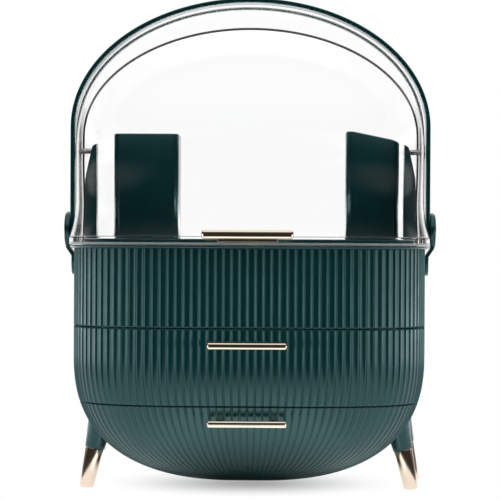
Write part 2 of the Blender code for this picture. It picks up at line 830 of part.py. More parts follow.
def build_upper_drawer(hollow, parts, cutters):
    block = side_block("back_block", True, seam_gap, cutters)
    low = lower_seam_height + seam_gap / 2.0
    high = upper_seam_height - seam_gap / 2.0
    front = body_shell("upper_drawer_front", low, high, hollow, block, parts)
    finish_piece(front, green_plastic("upper_drawer_front_green"))

    drop = bowl_drop - body_wall
    front_depth = body_half_depth - body_wall - seat_gap
    back_depth = body_half_depth - body_wall - tub_back_clearance
    rows = []
    for height, inset in ((upper_tub_floor, tub_floor_edge), (upper_tub_floor + tub_floor_edge, 0),
                          (bowl_spring_height, 0), (upper_tub_top, 0)):
        rows.append(smooth_row(upper_tub_half_width - inset, front_depth - inset, back_depth - inset,
                               bowl_share(height, drop), height, tub_columns))
    tub = open_shell("upper_drawer_tub", rows, parts, tub_wall, ring_closed=True, floor=True)
    tub_lips(tub, "upper_tub", upper_tub_half_width, upper_lip_back_y, upper_tub_top, cutters)
    finish_piece(tub, green_plastic("upper_drawer_tub_green"))

    hung_from = upper_seam_height + seat_gap
    for side, word in ((-1, "left"), (1, "right")):
        runner("upper_runner_" + word, side, upper_tub_half_width, upper_tub_top, hung_from,
               upper_lip_back_y - runner_back_inset, parts)
    wall_y = -body_half_depth
    bar_middle = upper_seam_height - drawer_bar_drop
    bar_handle("upper_drawer_handle", drawer_bar_half_width, bar_height, bar_middle, wall_y,
               drawer_bar_standoff, drawer_posts(), bar_post_height, bar_middle, parts, cutters)
    return block


def build_lower_drawer(hollow, block, parts, cutters):
    high = lower_seam_height - seam_gap / 2.0
    front = body_shell("lower_drawer_front", bowl_floor(), high, hollow, block, parts)
    finish_piece(front, green_plastic("lower_drawer_front_green"))

    front_depth = body_half_depth - body_wall - seat_gap
    back_depth = body_half_depth - body_wall - tub_back_clearance
    rows = []
    for height in bowl_levels(bowl_floor(lower_tub_drop), lower_tub_top, lower_tub_drop):
        rows.append(smooth_row(lower_tub_half_width, front_depth, back_depth,
                               bowl_share(height, lower_tub_drop), height, tub_columns))
    tub = open_shell("lower_drawer_tub", rows, parts, tub_wall, ring_closed=True, floor=True)
    lip_bottom = lower_tub_top - lip_drop - lip_thickness
    half_width = lower_tub_half_width * bowl_share(lip_bottom, lower_tub_drop)
    tub_lips(tub, "lower_tub", half_width, lower_lip_back_y, lower_tub_top, cutters)
    finish_piece(tub, green_plastic("lower_drawer_tub_green"))

    hung_from = lower_seam_height - shelf_thickness
    for side, word in ((-1, "left"), (1, "right")):
        runner("lower_runner_" + word, side, half_width, lower_tub_top, hung_from,
               lower_lip_back_y - runner_back_inset, parts)
    bar_middle = lower_seam_height - drawer_bar_drop
    wall_y = -body_half_depth * bowl_share(bar_middle + bar_post_height / 2.0)
    bar_handle("lower_drawer_handle", drawer_bar_half_width, bar_height, bar_middle, wall_y,
               drawer_bar_standoff, drawer_posts(), bar_post_height, bar_middle, parts, cutters)


def build_lid_handle(parts, cutters):
    wall_y = -lid_half_depth - foot_proud
    stem = ((-lid_stem_half_width, lid_stem_half_width),)
    bar_handle("lid_handle", lid_bar_half_width, lid_bar_size_z, rim_height + lid_bar_rise, wall_y,
               lid_bar_standoff, stem, lid_stem_height, rim_height + lid_stem_rise, parts, cutters)


def strap_section(centre, outward, half_width):
    """One cross-section of the strap: a flat bar with its corners taken off."""
    half = strap_thickness / 2.0
    edge = min(strap_edge, half_width)
    corners = ((-half, -half_width + edge), (-half + edge, -half_width), (half - edge, -half_width),
               (half, -half_width + edge), (half, half_width - edge), (half - edge, half_width),
               (-half + edge, half_width), (-half, half_width - edge))
    return [(centre[0] + outward[0] * across, along, centre[1] + outward[1] * across)
            for across, along in corners]


def build_carry_handle(parts, cutters):
    """The strap: a rounded end, a straight arm, a half-ellipse arch, and the same down the other side."""
    half = strap_thickness / 2.0
    middle_x = handle_half_width - half
    arch_rise = handle_top_height - half - handle_spring_height
    end_radius = strap_width / 2.0
    arm = []
    for turn in (75, 55, 30):
        angle = math.radians(turn)
        arm.append((handle_pivot_height - end_radius * math.sin(angle), end_radius * math.cos(angle)))
    arm.append((handle_pivot_height, end_radius))
    rows = [strap_section((middle_x, height), (1, 0), width) for height, width in arm]
    for index in range(handle_arch_steps + 1):
        angle = math.pi * index / handle_arch_steps
        centre = (middle_x * math.cos(angle), handle_spring_height + arch_rise * math.sin(angle))
        outward = Vector((math.cos(angle) / middle_x, math.sin(angle) / arch_rise)).normalized()
        rows.append(strap_section(centre, outward, end_radius))
    rows += [strap_section((-middle_x, height), (-1, 0), width) for height, width in reversed(arm)]
    strap = closed_piece("carry_handle", rows, parts)
    for side, word in ((-1, "left"), (1, "right")):
        low, high = sorted((side * (middle_x - overrun), side * (middle_x + overrun)))
        bore = side_cylinder("handle_bore_" + word, low, high, 0, handle_pivot_height,
                             handle_pin_radius + handle_bore_clearance, cutters)
        boolean(strap, as_cutter(bore), "DIFFERENCE")
    return finish_piece(strap, green_plastic("carry_handle_green"))


def bracket_outline():
    """The bracket seen from the side: a pad with a round foot, and a round head over the pivot."""
    foot_centre = bracket_pad_bottom + bracket_pad_half_width
    shoulder = math.asin(bracket_pad_half_width / bracket_head_radius)
    outline = []
    for index in range(9):
        angle = math.pi + math.pi * index / 8
        outline.append((bracket_pad_half_width * math.cos(angle),
                        foot_centre + bracket_pad_half_width * math.sin(angle)))
    for index in range(13):
        angle = shoulder - math.pi / 2.0 + (2.0 * math.pi - 2.0 * shoulder) * index / 12
        outline.append((bracket_head_radius * math.cos(angle),
                        handle_pivot_height + bracket_head_radius * math.sin(angle)))
    return outline


def build_pivots(parts, cutters):
    """Brackets on the body's sides, the pins that the carry handle turns on, and their round caps."""
    pad_x = body_half_width + seat_gap
    head_x = handle_half_width + seat_gap
    top = handle_pivot_height + bracket_head_radius + overrun
    bottom = bracket_pad_bottom - overrun
    reach = bracket_head_radius + overrun
    jog = ((pad_x, bottom), (pad_x + bracket_thickness, bottom),
           (pad_x + bracket_thickness, bracket_pad_top), (head_x + bracket_thickness, bracket_jog_top),
           (head_x + bracket_thickness, top), (head_x, top), (head_x, bracket_jog_top),
           (pad_x, bracket_pad_top))
    cap_x = head_x + bracket_thickness + seat_gap
    pin_end = handle_half_width - strap_thickness - seat_gap
    for side, word in ((-1, "left"), (1, "right")):
        rows = [[(side * x, y, z) for x, z in jog] for y in (-reach, reach)]
        bracket = closed_piece("handle_bracket_" + word, rows, parts)
        prism = []
        for x in (side * (pad_x - overrun), side * (cap_x + overrun)):
            prism.append([(x, y, z) for y, z in bracket_outline()])
        outline = closed_piece("bracket_outline_" + word, prism, cutters)
        boolean(bracket, as_cutter(outline), "INTERSECT")
        low, high = sorted((side * (pad_x - overrun), side * (cap_x + overrun)))
        bore = side_cylinder("bracket_bore_" + word, low, high, 0, handle_pivot_height,
                             handle_pin_radius + handle_bore_clearance, cutters)
        boolean(bracket, as_cutter(bore), "DIFFERENCE")
        finish_piece(bracket, green_plastic("handle_bracket_green_" + word))

        profile = [(0, cap_x - seat_gap), (handle_pin_radius, cap_x - seat_gap),
                   (handle_pin_radius, pin_end), (handle_pin_head_radius, pin_end),
                   (handle_pin_head_radius, pin_end - handle_pin_head_thickness),
                   (0, pin_end - handle_pin_head_thickness)]
        pin = turned_piece("handle_pin_" + word, profile, parts, 12)
        cap_profile = [(0, cap_x + cap_rise), (cap_radius / 2.0, cap_x + cap_rise * 3.0 / 4.0),
                       (cap_radius, cap_x + cap_rise / 4.0), (cap_radius, cap_x), (0, cap_x)]
        cap = turned_piece("pivot_cap_" + word, cap_profile, parts, 20)
        for item in (pin, cap):
            item.rotation_euler = (0, math.radians(90 * side), 0)
            item.location = (0, 0, handle_pivot_height)
        finish_piece(pin, steel("handle_pin_steel_" + word))
        finish_piece(cap, green_plastic("pivot_cap_green_" + word))


def build_leg(word, side, x, y, bowl_room, floor_room, parts):
    splay = math.radians(-leg_splay * side)
    profile = [(0, socket_length), (socket_top_radius, socket_length), (socket_bottom_radius, 0),
               (tip_spigot_radius + seat_gap, 0), (tip_spigot_radius + seat_gap, socket_bore_depth),
               (0, socket_bore_depth)]
    socket = turned_piece("leg_socket_" + word, profile, parts)
    boolean(socket, bowl_room, "DIFFERENCE")
    finish_piece(socket, green_plastic("leg_socket_green_" + word))

    profile = [(0, tip_spigot_length), (tip_spigot_radius, tip_spigot_length),
               (tip_spigot_radius, -seat_gap), (tip_top_radius, -seat_gap),
               (tip_end_radius, -tip_taper_length)]
    for length_share, share in zip(tip_round_length_shares, tip_round_radius_shares):
        profile.append((tip_end_radius * share, -tip_taper_length - tip_round_length * length_share))
    profile.append((0, -tip_taper_length - tip_round_length))
    tip = turned_piece("leg_tip_" + word, profile, parts)
    boolean(tip, floor_room, "DIFFERENCE")
    finish_piece(tip, gold_plate("leg_tip_gold_" + word))
    for item in (socket, tip):
        item.rotation_euler = (0, splay, 0)
        item.location = (side * x, y, leg_joint_height)


def build_legs(parts, cutters):
    """Four splayed legs under the housing, the rear pair set a little wider than the front pair."""
    rows = []
    for height in bowl_levels(bowl_floor(), upper_seam_height):
        share = bowl_share(height)
        rows.append(smooth_row(body_half_width + seat_gap / share, body_half_depth + seat_gap / share,
                               body_half_depth + seat_gap / share, share, height - seat_gap, 96))
    bowl_room = as_cutter(closed_piece("bowl_room", rows, cutters))
    reach = body_half_width + overrun * 4
    floor_room = as_cutter(box_piece("floor_room", (-reach, -reach, -overrun * 2), (reach, reach, 0), cutters))
    places = (("front_left", -1, front_leg_x, front_leg_y), ("front_right", 1, front_leg_x, front_leg_y),
              ("rear_left", -1, rear_leg_x, rear_leg_y), ("rear_right", 1, rear_leg_x, rear_leg_y))
    for word, side, x, y in places:
        build_leg(word, side, x, y, bowl_room, floor_room, parts)


def pivot_empty(name, location, root):
    empty = bpy.data.objects.new(name, None)
    bpy.context.scene.collection.objects.link(empty)
    empty.location = location
    empty.parent = root
    return empty


def hang(names, empty):
    """Parent pieces to an empty that stands on their joint's axis, without moving them."""
    for name in names:
        item = bpy.data.objects[name]
        item.parent = empty
        item.location = Vector(item.location) - Vector(empty.location)


def main():
    clear_scene()
    parts = make_collection("makeup_box")
    cutters = make_collection("cutters")
    hollow = build_body(parts, cutters)
    build_bin("tall_bin_left", -left_bin_outer_x, -left_bin_inner_x, left_bin_back_y, left_bin_top, 0, parts)
    build_bin("tall_bin_right", right_bin_inner_x, right_bin_outer_x, right_bin_back_y, right_bin_top,
              right_bin_top_fall, parts)
    build_lid(parts, cutters)
    build_rear_cover(parts, cutters)
    build_ears(parts, cutters)
    build_lid_handle(parts, cutters)
    block = build_upper_drawer(hollow, parts, cutters)
    build_lower_drawer(hollow, block, parts, cutters)
    build_carry_handle(parts, cutters)
    build_pivots(parts, cutters)
    build_legs(parts, cutters)

    # The middle of the footprint lies between the lid handle's face and the back of the dome's foot
    front_reach = lid_half_depth + foot_proud + lid_bar_standoff + bar_depth
    back_reach = body_half_depth + rim_bead_proud
    root = bpy.data.objects.new("makeup_box_frame", None)
    bpy.context.scene.collection.objects.link(root)
    root.location = (0, (front_reach - back_reach) / 2.0, 0)
    moving = {
        "lid_axis": ((0, 0, lid_pivot_height), ("lid_front_cover", "lid_handle")),
        "carry_handle_axis": ((0, 0, handle_pivot_height), ("carry_handle",)),
        "upper_drawer_axis": ((0, 0, upper_tub_top),
                              ("upper_drawer_front", "upper_drawer_tub", "upper_drawer_handle")),
        "lower_drawer_axis": ((0, 0, lower_tub_top),
                              ("lower_drawer_front", "lower_drawer_tub", "lower_drawer_handle")),
    }
    for name, (location, pieces) in moving.items():
        hang(pieces, pivot_empty(name, location, root))
    for item in list(parts.objects) + list(cutters.objects):
        if item.parent is None:
            item.parent = root


main()
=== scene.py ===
"""Looks of the makeup box, laid out as a Blender add-on and run as a script.

Sizes are in metres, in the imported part's frame: +X to the right, +Y to the back, +Z up.
"""

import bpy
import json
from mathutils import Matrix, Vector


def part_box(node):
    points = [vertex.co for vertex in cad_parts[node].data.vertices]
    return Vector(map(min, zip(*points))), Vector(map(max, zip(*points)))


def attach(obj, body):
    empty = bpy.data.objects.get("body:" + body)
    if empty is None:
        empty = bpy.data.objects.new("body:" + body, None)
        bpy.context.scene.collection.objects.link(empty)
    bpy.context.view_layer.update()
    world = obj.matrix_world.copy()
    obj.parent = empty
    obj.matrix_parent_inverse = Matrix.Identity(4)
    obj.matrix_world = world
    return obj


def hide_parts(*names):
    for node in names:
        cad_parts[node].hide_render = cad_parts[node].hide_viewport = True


bl_info = {
    "name": "Makeup Box",
    "version": (1, 0, 0),
    "blender": (4, 5, 0),
    "location": "3D Viewport > Sidebar > Makeup Box",
    "description": "Ribbed makeup box with two drawers, a clear dome and a carry handle",
    "category": "Add Mesh",
}

import json
import math

import bmesh
import bpy
import numpy as np
from bpy.props import FloatProperty, FloatVectorProperty, IntProperty, PointerProperty
from mathutils import Quaternion, Vector

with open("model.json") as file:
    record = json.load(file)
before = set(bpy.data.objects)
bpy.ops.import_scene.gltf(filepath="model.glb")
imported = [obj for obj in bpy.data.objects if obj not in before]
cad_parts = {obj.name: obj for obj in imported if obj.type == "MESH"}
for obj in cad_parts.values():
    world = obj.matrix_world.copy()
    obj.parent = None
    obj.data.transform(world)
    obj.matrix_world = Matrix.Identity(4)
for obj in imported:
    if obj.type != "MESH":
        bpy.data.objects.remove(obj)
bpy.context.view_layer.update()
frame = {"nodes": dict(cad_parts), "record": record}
bodies = frame["record"]["behaviour"]["bodies"]
body_of = {node: body for body, nodes in bodies.items() for node in nodes}
slot_of = {entry["node"]: entry["material_slot"] for entry in frame["record"]["subparts"]}
# Shapes are worked out about the carry handle's middle plane, which lies here
middle_y = sum(corner.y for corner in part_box("carry_handle")) / 2

# Powers of the rounded square in plan and of the bowl's side
PLAN_POWER = 3.3
BOWL_POWER = 2.5

# One rib's outline: shares of its pitch, from ridge to ridge, and how deep the flute is there
RIB_PLACES = np.array((0, 0.04, 0.085, 0.14, 0.2, 0.5, 0.8, 0.86, 0.915, 0.96))
RIB_DEPTHS = np.array((0, 0.12, 0.45, 0.82, 0.97, 1, 0.97, 0.82, 0.45, 0.12))

# Shares of the bowl's full size where the ribs are gone and where they are whole
RIBS_GONE = 0.3
RIBS_WHOLE = 0.55

# Beside the carry handle the rims stay flush for this length, and then stand out over the next
BAY = 0.022
BAY_BLEND = 0.012

# A fine edge's height, and its two rows: how far each is from the piece's end, and how far set in
FINE_EDGE = 0.0005
FINE_EDGE_ROWS = ((0.0002, 0.00015), (0, 0.00045))

# The gap to what a piece rests on, and the distance at which two points are one
SEAT = 0.0003
SAME_POINT = 0.000002
THIN_WALL = 0.0022
SIDES = (("left", -1), ("right", 1))

DARK = (0.02, 0.02, 0.02)
WHITE = (1, 1, 1)


def length(name, value, description):
    return FloatProperty(name=name, description=description, default=value, unit="LENGTH", precision=4)


def tint(name, value, description):
    return FloatVectorProperty(name=name, description=description, default=value, subtype="COLOR", size=3)


class MakeupBoxBody(bpy.types.PropertyGroup):
    """Sizes of the ribbed body."""
    half_width: length("Half width", 0.1411, "Half the body's width over the ribs")
    half_depth: length("Half depth", 0.1045, "Half the body's depth over the ribs")
    spring_height: length("Bowl top", 0.110, "Height where the bowl starts to round under")
    bowl_drop: length("Bowl drop", 0.1042, "Depth of the bowl under its top")
    wall: length("Wall", 0.003, "Thickness of the body's wall")
    rib_count: IntProperty(name="Ribs", description="Ribs round the body", default=136)
    rib_depth: length("Rib depth", 0.0011, "Depth of the flutes between the ribs")
    rim_height: length("Rim height", 0.1956, "Height of the body's rim")
    bead_proud: length("Rim bead", 0.0032, "How far the rim bead stands out")
    upper_seam: length("Upper seam", 0.1314, "Height of the seam over the upper drawer")
    lower_seam: length("Lower seam", 0.0711, "Height of the seam between the drawers")
    seam_gap: length("Seam gap", 0.0006, "Gap at the drawers' seams")
    side_seam: length("Side seam", -0.028, "Where the drawer fronts end, from the middle to the back")


class MakeupBoxDome(bpy.types.PropertyGroup):
    """Sizes of the clear lid and the clear rear cover."""
    wall: length("Wall", 0.002, "Thickness of the clear wall")
    pivot_height: length("Pivot height", 0.2716, "Height of the lid's axis")
    lid_half_width: length("Lid half width", 0.1402, "Half the lid's width")
    lid_half_depth: length("Lid half depth", 0.1036, "From the lid's axis to its front wall")
    lid_cheek: length("Lid cheek", 0.0195, "Radius of the flat round cheek at the lid's axis")
    lid_front: length("Lid front radius", 0.1068, "Radius at the lid's front")
    lid_top: length("Lid top radius", 0.1174, "Radius at the lid's top")
    rear_half_width: length("Rear half width", 0.1376, "Half the rear cover's width")
    rear_half_depth: length("Rear half depth", 0.1016, "From the lid's axis to the rear wall")
    rear_cheek: length("Rear cheek", 0.0122, "Radius of the rear cover's cheek")
    rear_radius: length("Rear radius", 0.102, "Radius of the rear cover's top")
    foot_height: length("Foot height", 0.0064, "Height of the dome's thick foot")
    foot_proud: length("Foot", 0.005, "How far the foot stands out")
    belly_height: length("Belly height", 0.225, "Height where the dome starts to round over")


class MakeupBoxHandle(bpy.types.PropertyGroup):
    """Sizes of the carry handle and its pivots."""
    half_width: length("Half width", 0.1456, "Half the handle's width")
    spring_height: length("Arch start", 0.2911, "Height where the handle's arch starts")
    top_height: length("Top", 0.3956, "Height of the handle's top")
    thickness: length("Thickness", 0.0034, "Thickness of the strap")
    width: length("Width", 0.022, "Width of the strap")
    pivot_height: length("Pivot height", 0.208, "Height of the handle's pivots")
    cap_radius: length("Cap radius", 0.0135, "Radius of the pivots' round caps")


class MakeupBoxFinish(bpy.types.PropertyGroup):
    """Colours of the finishes."""
    green: tint("Green plastic", (0.0018, 0.050, 0.056), "Colour of the moulded plastic")
    gold: tint("Gold plating", (0.94, 0.78, 0.63), "Colour of the bars and leg tips")
    clear: tint("Clear plastic", (0.996, 0.998, 0.998), "Tint of the dome")
    steel: tint("Pins", (0.62, 0.62, 0.62), "Colour of the pins")
    floor: tint("Floor", (0.92, 0.92, 0.92), "Colour of the floor")


# Shader nodes


def split(tree, vector):
    parts = tree.nodes.new("ShaderNodeSeparateXYZ")
    tree.links.new(vector, parts.inputs["Vector"])
    return parts.outputs


def object_place(tree):
    return tree.nodes.new("ShaderNodeTexCoord").outputs["Object"]


def join_values(tree, operation, first, second):
    step = tree.nodes.new("ShaderNodeMath")
    step.operation = operation
    for value, socket in ((first, step.inputs[0]), (second, step.inputs[1])):
        if isinstance(value, float):
            socket.default_value = value
        else:
            tree.links.new(value, socket)
    return step.outputs["Value"]


def map_range(tree, value, start, end, low, high, blend="SMOOTHSTEP"):
    """Run from low to high while the value runs from start to end."""
    step = tree.nodes.new("ShaderNodeMapRange")
    step.interpolation_type = blend
    for name, number in (("From Min", start), ("From Max", end), ("To Min", low), ("To Max", high)):
        step.inputs[name].default_value = number
    tree.links.new(value, step.inputs["Value"])
    return step.outputs["Result"]


def mix_colours(tree, share, first, second):
    mix = tree.nodes.new("ShaderNodeMixRGB")
    mix.inputs["Color1"].default_value = (*first, 1)
    mix.inputs["Color2"].default_value = (*second, 1)
    tree.links.new(share, mix.inputs["Fac"])
    return mix.outputs["Color"]


def add_noise(tree, scale, detail=2.0, stretch=(1, 1, 1)):
    mapping = tree.nodes.new("ShaderNodeMapping")
    mapping.inputs["Scale"].default_value = stretch
    noise = tree.nodes.new("ShaderNodeTexNoise")
    noise.inputs["Scale"].default_value = scale
    noise.inputs["Detail"].default_value = detail
    tree.links.new(object_place(tree), mapping.inputs["Vector"])
    tree.links.new(mapping.outputs["Vector"], noise.inputs["Vector"])
    return noise.outputs["Fac"]


# Procedural finishes


# Noise values between which a finish goes from one look to the other
NOISE_SPAN = (0.3, 0.7)


def vary_colour(tree, shader, colour, spread, scale):
    """Let the colour wander by a share of itself to either side."""
    ramp = tree.nodes.new("ShaderNodeValToRGB")
    for stop, place, share in zip(ramp.color_ramp.elements, NOISE_SPAN, (1 - spread, 1 + spread)):
        stop.position = place
        stop.color = (*(min(1.0, part * share) for part in colour), 1)
    tree.links.new(add_noise(tree, scale), ramp.inputs["Fac"])
    tree.links.new(ramp.outputs["Color"], shader.inputs["Base Color"])


def vary_roughness(tree, shader, low, high, scale):
    noise = add_noise(tree, scale, detail=4)
    tree.links.new(map_range(tree, noise, *NOISE_SPAN, low, high, "LINEAR"), shader.inputs["Roughness"])


def add_bump(tree, shader, strength, distance, **grain):
    """Raise the surface by a noise, whose grain is given as for add_noise."""
    bump = tree.nodes.new("ShaderNodeBump")
    bump.inputs["Strength"].default_value = strength
    bump.inputs["Distance"].default_value = distance
    tree.links.new(add_noise(tree, **grain), bump.inputs["Height"])
    tree.links.new(bump.outputs["Normal"], shader.inputs["Normal"])


def green_plastic(tree, shader, scene):
    """Glossy moulded plastic: slight colour flow, smooth and duller patches, fine mould grain."""
    vary_colour(tree, shader, scene.makeup_box_finish.green, spread=0.07, scale=14)
    vary_roughness(tree, shader, low=0.13, high=0.2, scale=45)
    add_bump(tree, shader, strength=0.06, distance=0.0001, scale=1400, detail=3)
    shader.inputs["IOR"].default_value = 1.66
    shader.inputs["Specular Tint"].default_value = (0.6, 1.0, 1.0, 1)


def clear_plastic(tree, shader, scene):
    """Clear plastic with the faint waviness of a thin moulding, and a satin lip at its foot."""
    vary_colour(tree, shader, scene.makeup_box_finish.clear, spread=0.002, scale=10)
    add_bump(tree, shader, strength=0.05, distance=0.0005, scale=22)
    height = split(tree, object_place(tree))["Z"]
    lip_end = scene.makeup_box_body.rim_height + 0.0022
    lip_start = scene.makeup_box_body.rim_height + 0.0017
    for socket, plain, satin in (("Roughness", 0.008, 0.3), ("Transmission Weight", 1.0, 0.72)):
        share = map_range(tree, height, lip_end, lip_start, plain, satin, "LINEAR")
        tree.links.new(share, shader.inputs[socket])
    shader.inputs["IOR"].default_value = 1.25


def gold_plating(tree, shader, scene):
    """Bright pale gold plating with faint polishing lines."""
    vary_colour(tree, shader, scene.makeup_box_finish.gold, spread=0.03, scale=60)
    vary_roughness(tree, shader, low=0.09, high=0.15, scale=90)
    add_bump(tree, shader, strength=0.05, distance=0.00005, scale=600, stretch=(0.08, 1, 1))
    shader.inputs["Metallic"].default_value = 1.0


def turned_steel(tree, shader, scene):
    """Plain steel with turning marks."""
    vary_colour(tree, shader, scene.makeup_box_finish.steel, spread=0.06, scale=200)
    vary_roughness(tree, shader, low=0.22, high=0.36, scale=300)
    add_bump(tree, shader, strength=0.1, distance=0.00005, scale=2500, stretch=(1, 0.1, 0.1))
    shader.inputs["Metallic"].default_value = 1.0


FINISHES = {
    "green_plastic": ("moulded green plastic", green_plastic),
    "clear_plastic": ("clear plastic", clear_plastic),
    "gold": ("pale gold plating", gold_plating),
    "steel": ("turned steel", turned_steel),
}


def finish_of(context, slot):
    """The material of a slot, made the first time that it is asked for."""
    name, make = FINISHES[slot]
    finish = bpy.data.materials.get(name)
    if not finish:
        finish = bpy.data.materials.new(name)
        finish.use_nodes = True
        tree = finish.node_tree
        make(tree, tree.nodes["Principled BSDF"], context.scene)
    return finish


# Shaping


def select_only(piece):
    bpy.ops.object.select_all(action="DESELECT")
    piece.select_set(True)
    bpy.context.view_layer.objects.active = piece


def edit_whole(piece):
    select_only(piece)
    bpy.ops.object.mode_set(mode="EDIT")
    bpy.ops.mesh.select_all(action="SELECT")


def apply_modifier(piece, kind, **values):
    select_only(piece)
    step = piece.modifiers.new(kind.title(), kind)
    for key, value in values.items():
        setattr(step, key, value)
    bpy.ops.object.modifier_apply(modifier=step.name)


def formed_sheet(name, points):
    """A grid whose rows and columns are moved to points, an array of rows, columns and places."""
    rows, columns = points.shape[:2]
    bpy.ops.object.select_all(action="DESELECT")
    bpy.ops.mesh.primitive_grid_add(x_subdivisions=columns - 1, y_subdivisions=rows - 1, size=1)
    piece = bpy.context.object
    piece.name = name
    places = points + np.array((0, middle_y, 0))
    piece.data.vertices.foreach_set("co", places.astype(np.float32).ravel())
    piece.data.update()
    edit_whole(piece)
    bpy.ops.mesh.remove_doubles(threshold=SAME_POINT)
    bpy.ops.mesh.dissolve_degenerate(threshold=SAME_POINT)
    bpy.ops.mesh.normals_make_consistent(inside=False)
    bpy.ops.object.mode_set(mode="OBJECT")
    return piece


def turned(name, profile, foot, axis, columns=48):
    """A profile of (radius, distance along the axis) points turned about an axis that starts at foot."""
    along = Vector(axis).normalized()
    across = along.orthogonal().normalized()
    third = along.cross(across)
    angle = np.linspace(0, 2 * math.pi, columns + 1)
    ring = np.outer(np.cos(angle), across) + np.outer(np.sin(angle), third)
    rows = [np.array(foot) + ring * radius + np.array(along) * distance for radius, distance in profile]
    return formed_sheet(name, np.array(rows))


def cut_across(piece, place, direction):
    """Cut a closed piece and keep what lies on the direction's side, with the cut closed."""
    edit_whole(piece)
    bpy.ops.mesh.bisect(plane_co=place, plane_no=direction, use_fill=True, clear_inner=True)
    bpy.ops.object.mode_set(mode="OBJECT")


def join_pieces(pieces):
    bpy.ops.object.select_all(action="DESELECT")
    for piece in pieces:
        piece.select_set(True)
    bpy.context.view_layer.objects.active = pieces[0]
    bpy.ops.object.join()
    return pieces[0]


def stand_for(context, piece, node, bend=35):
    """Shade a finished piece, and give it its name, finish and body in the CAD node's stead.

    Edges that turn by less than bend degrees are shaded smooth.
    """
    select_only(piece)
    bpy.ops.object.shade_smooth_by_angle(angle=math.radians(bend))
    piece.name = node + "_shown"
    piece.data.name = piece.name
    piece.data.materials.clear()
    piece.data.materials.append(finish_of(context, slot_of[node]))
    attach(piece, body_of[node])
    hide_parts(node)


def rounded_block(low, high, edge, segments=3):
    """A cube set between two corners, with its edges rounded."""
    centre = [(start + end) / 2 for start, end in zip(low, high)]
    centre[1] += middle_y
    bpy.ops.object.select_all(action="DESELECT")
    bpy.ops.mesh.primitive_cube_add(size=1, location=centre)
    piece = bpy.context.object
    piece.scale = [end - start for start, end in zip(low, high)]
    bpy.ops.object.transform_apply(location=True, rotation=True, scale=True)
    apply_modifier(piece, "BEVEL", width=edge, segments=segments, limit_method="NONE")
    return piece


def dressed_copy(context, node, edge=0.0004, segments=2):
    """A CAD node's own shape with its edges softened."""
    bm = bmesh.new()
    bm.from_mesh(frame["nodes"][node].data)
    bmesh.ops.remove_doubles(bm, verts=bm.verts, dist=SAME_POINT)
    bmesh.ops.dissolve_limit(bm, angle_limit=math.radians(1), verts=bm.verts, edges=bm.edges)
    mesh = bpy.data.meshes.new(node)
    bm.to_mesh(mesh)
    bm.free()
    piece = bpy.data.objects.new(node, mesh)
    context.scene.collection.objects.link(piece)
    sharp = math.radians(50)
    apply_modifier(piece, "BEVEL", width=edge, segments=segments, limit_method="ANGLE", angle_limit=sharp)
    stand_for(context, piece, node)


def signed_power(value, exponent):
    return np.sign(value) * np.abs(value) ** exponent


def smooth_step(share):
    share = np.clip(share, 0, 1)
    return share * share * (3 - 2 * share)


def beside_handle(y):
    """0 where the carry handle stands, and 1 further along the rim."""
    return smooth_step((np.abs(y) - BAY) / BAY_BLEND)


def plan_curve(half_width, front_depth, back_depth, places, steps=7200):
    """Points and outward normals at shares of the way round the plan, from the front's middle to +X."""
    angle = np.linspace(-math.pi / 2, 1.5 * math.pi, steps + 1)
    depth = np.where(np.sin(angle) < 0, front_depth, back_depth)
    x = half_width * signed_power(np.cos(angle), 2 / PLAN_POWER)
    y = depth * signed_power(np.sin(angle), 2 / PLAN_POWER)
    along = np.concatenate(([0], np.cumsum(np.hypot(np.diff(x), np.diff(y)))))
    x = np.interp(places * along[-1], along, x)
    y = np.interp(places * along[-1], along, y)
    depth = np.where(y < 0, front_depth, back_depth)
    out_x = signed_power(x / half_width, PLAN_POWER - 1) / half_width
    out_y = signed_power(y / depth, PLAN_POWER - 1) / depth
    size = np.hypot(out_x, out_y)
    return x, y, out_x / size, out_y / size


def level_ring(x, y, height):
    return np.stack((x, y, np.full_like(x, height)), axis=-1)


def even_ring(half_width, front_depth, back_depth, height, columns=240):
    places = np.linspace(0, 1, columns + 1)
    return level_ring(*plan_curve(half_width, front_depth, back_depth, places)[:2], height)


def rounded_ring(low_x, high_x, low_y, high_y, radius, height, steps=8):
    """A box seen from above with rounded corners; it closes on its first point."""
    left, right, front, back = low_x + radius, high_x - radius, low_y + radius, high_y - radius
    points = []
    for x, y, start in ((right, front, -90), (right, back, 0), (left, back, 90), (left, front, 180)):
        for index in range(steps + 1):
            angle = math.radians(start + 90 * index / steps)
            points.append((x + radius * math.cos(angle), y + radius * math.sin(angle), height))
    points.append(points[0])
    return np.array(points)


def bowl_share(height, spring, drop):
    """The bowl's size at a height, as a share of its size at the top."""
    depth = max(0.0, min(1.0, (spring - height) / drop))
    return (1 - depth ** BOWL_POWER) ** (1 / BOWL_POWER)


def bowl_heights(low, high, spring, drop, steps):
    """Heights up the bowl at even turns of its curve, from low to high, with one close to each end."""
    top = min(high, spring)
    first, last = (math.acos(((spring - level) / drop) ** (BOWL_POWER / 2)) for level in (low, top))
    turns = [first + (last - first) * index / steps for index in range(steps + 1)]
    heights = [spring - drop * max(0.0, math.cos(turn)) ** (2 / BOWL_POWER) for turn in turns]
    heights[0] = low
    if high > spring:
        heights += [spring + (high - spring) * share for share in (0.25, 0.5, 0.75, 1)]
    else:
        heights[-1] = high
    guard = 0.0006
    if low > spring - drop + guard:
        heights.insert(1, low + guard)
    heights.insert(-1, high - guard)
    return heights


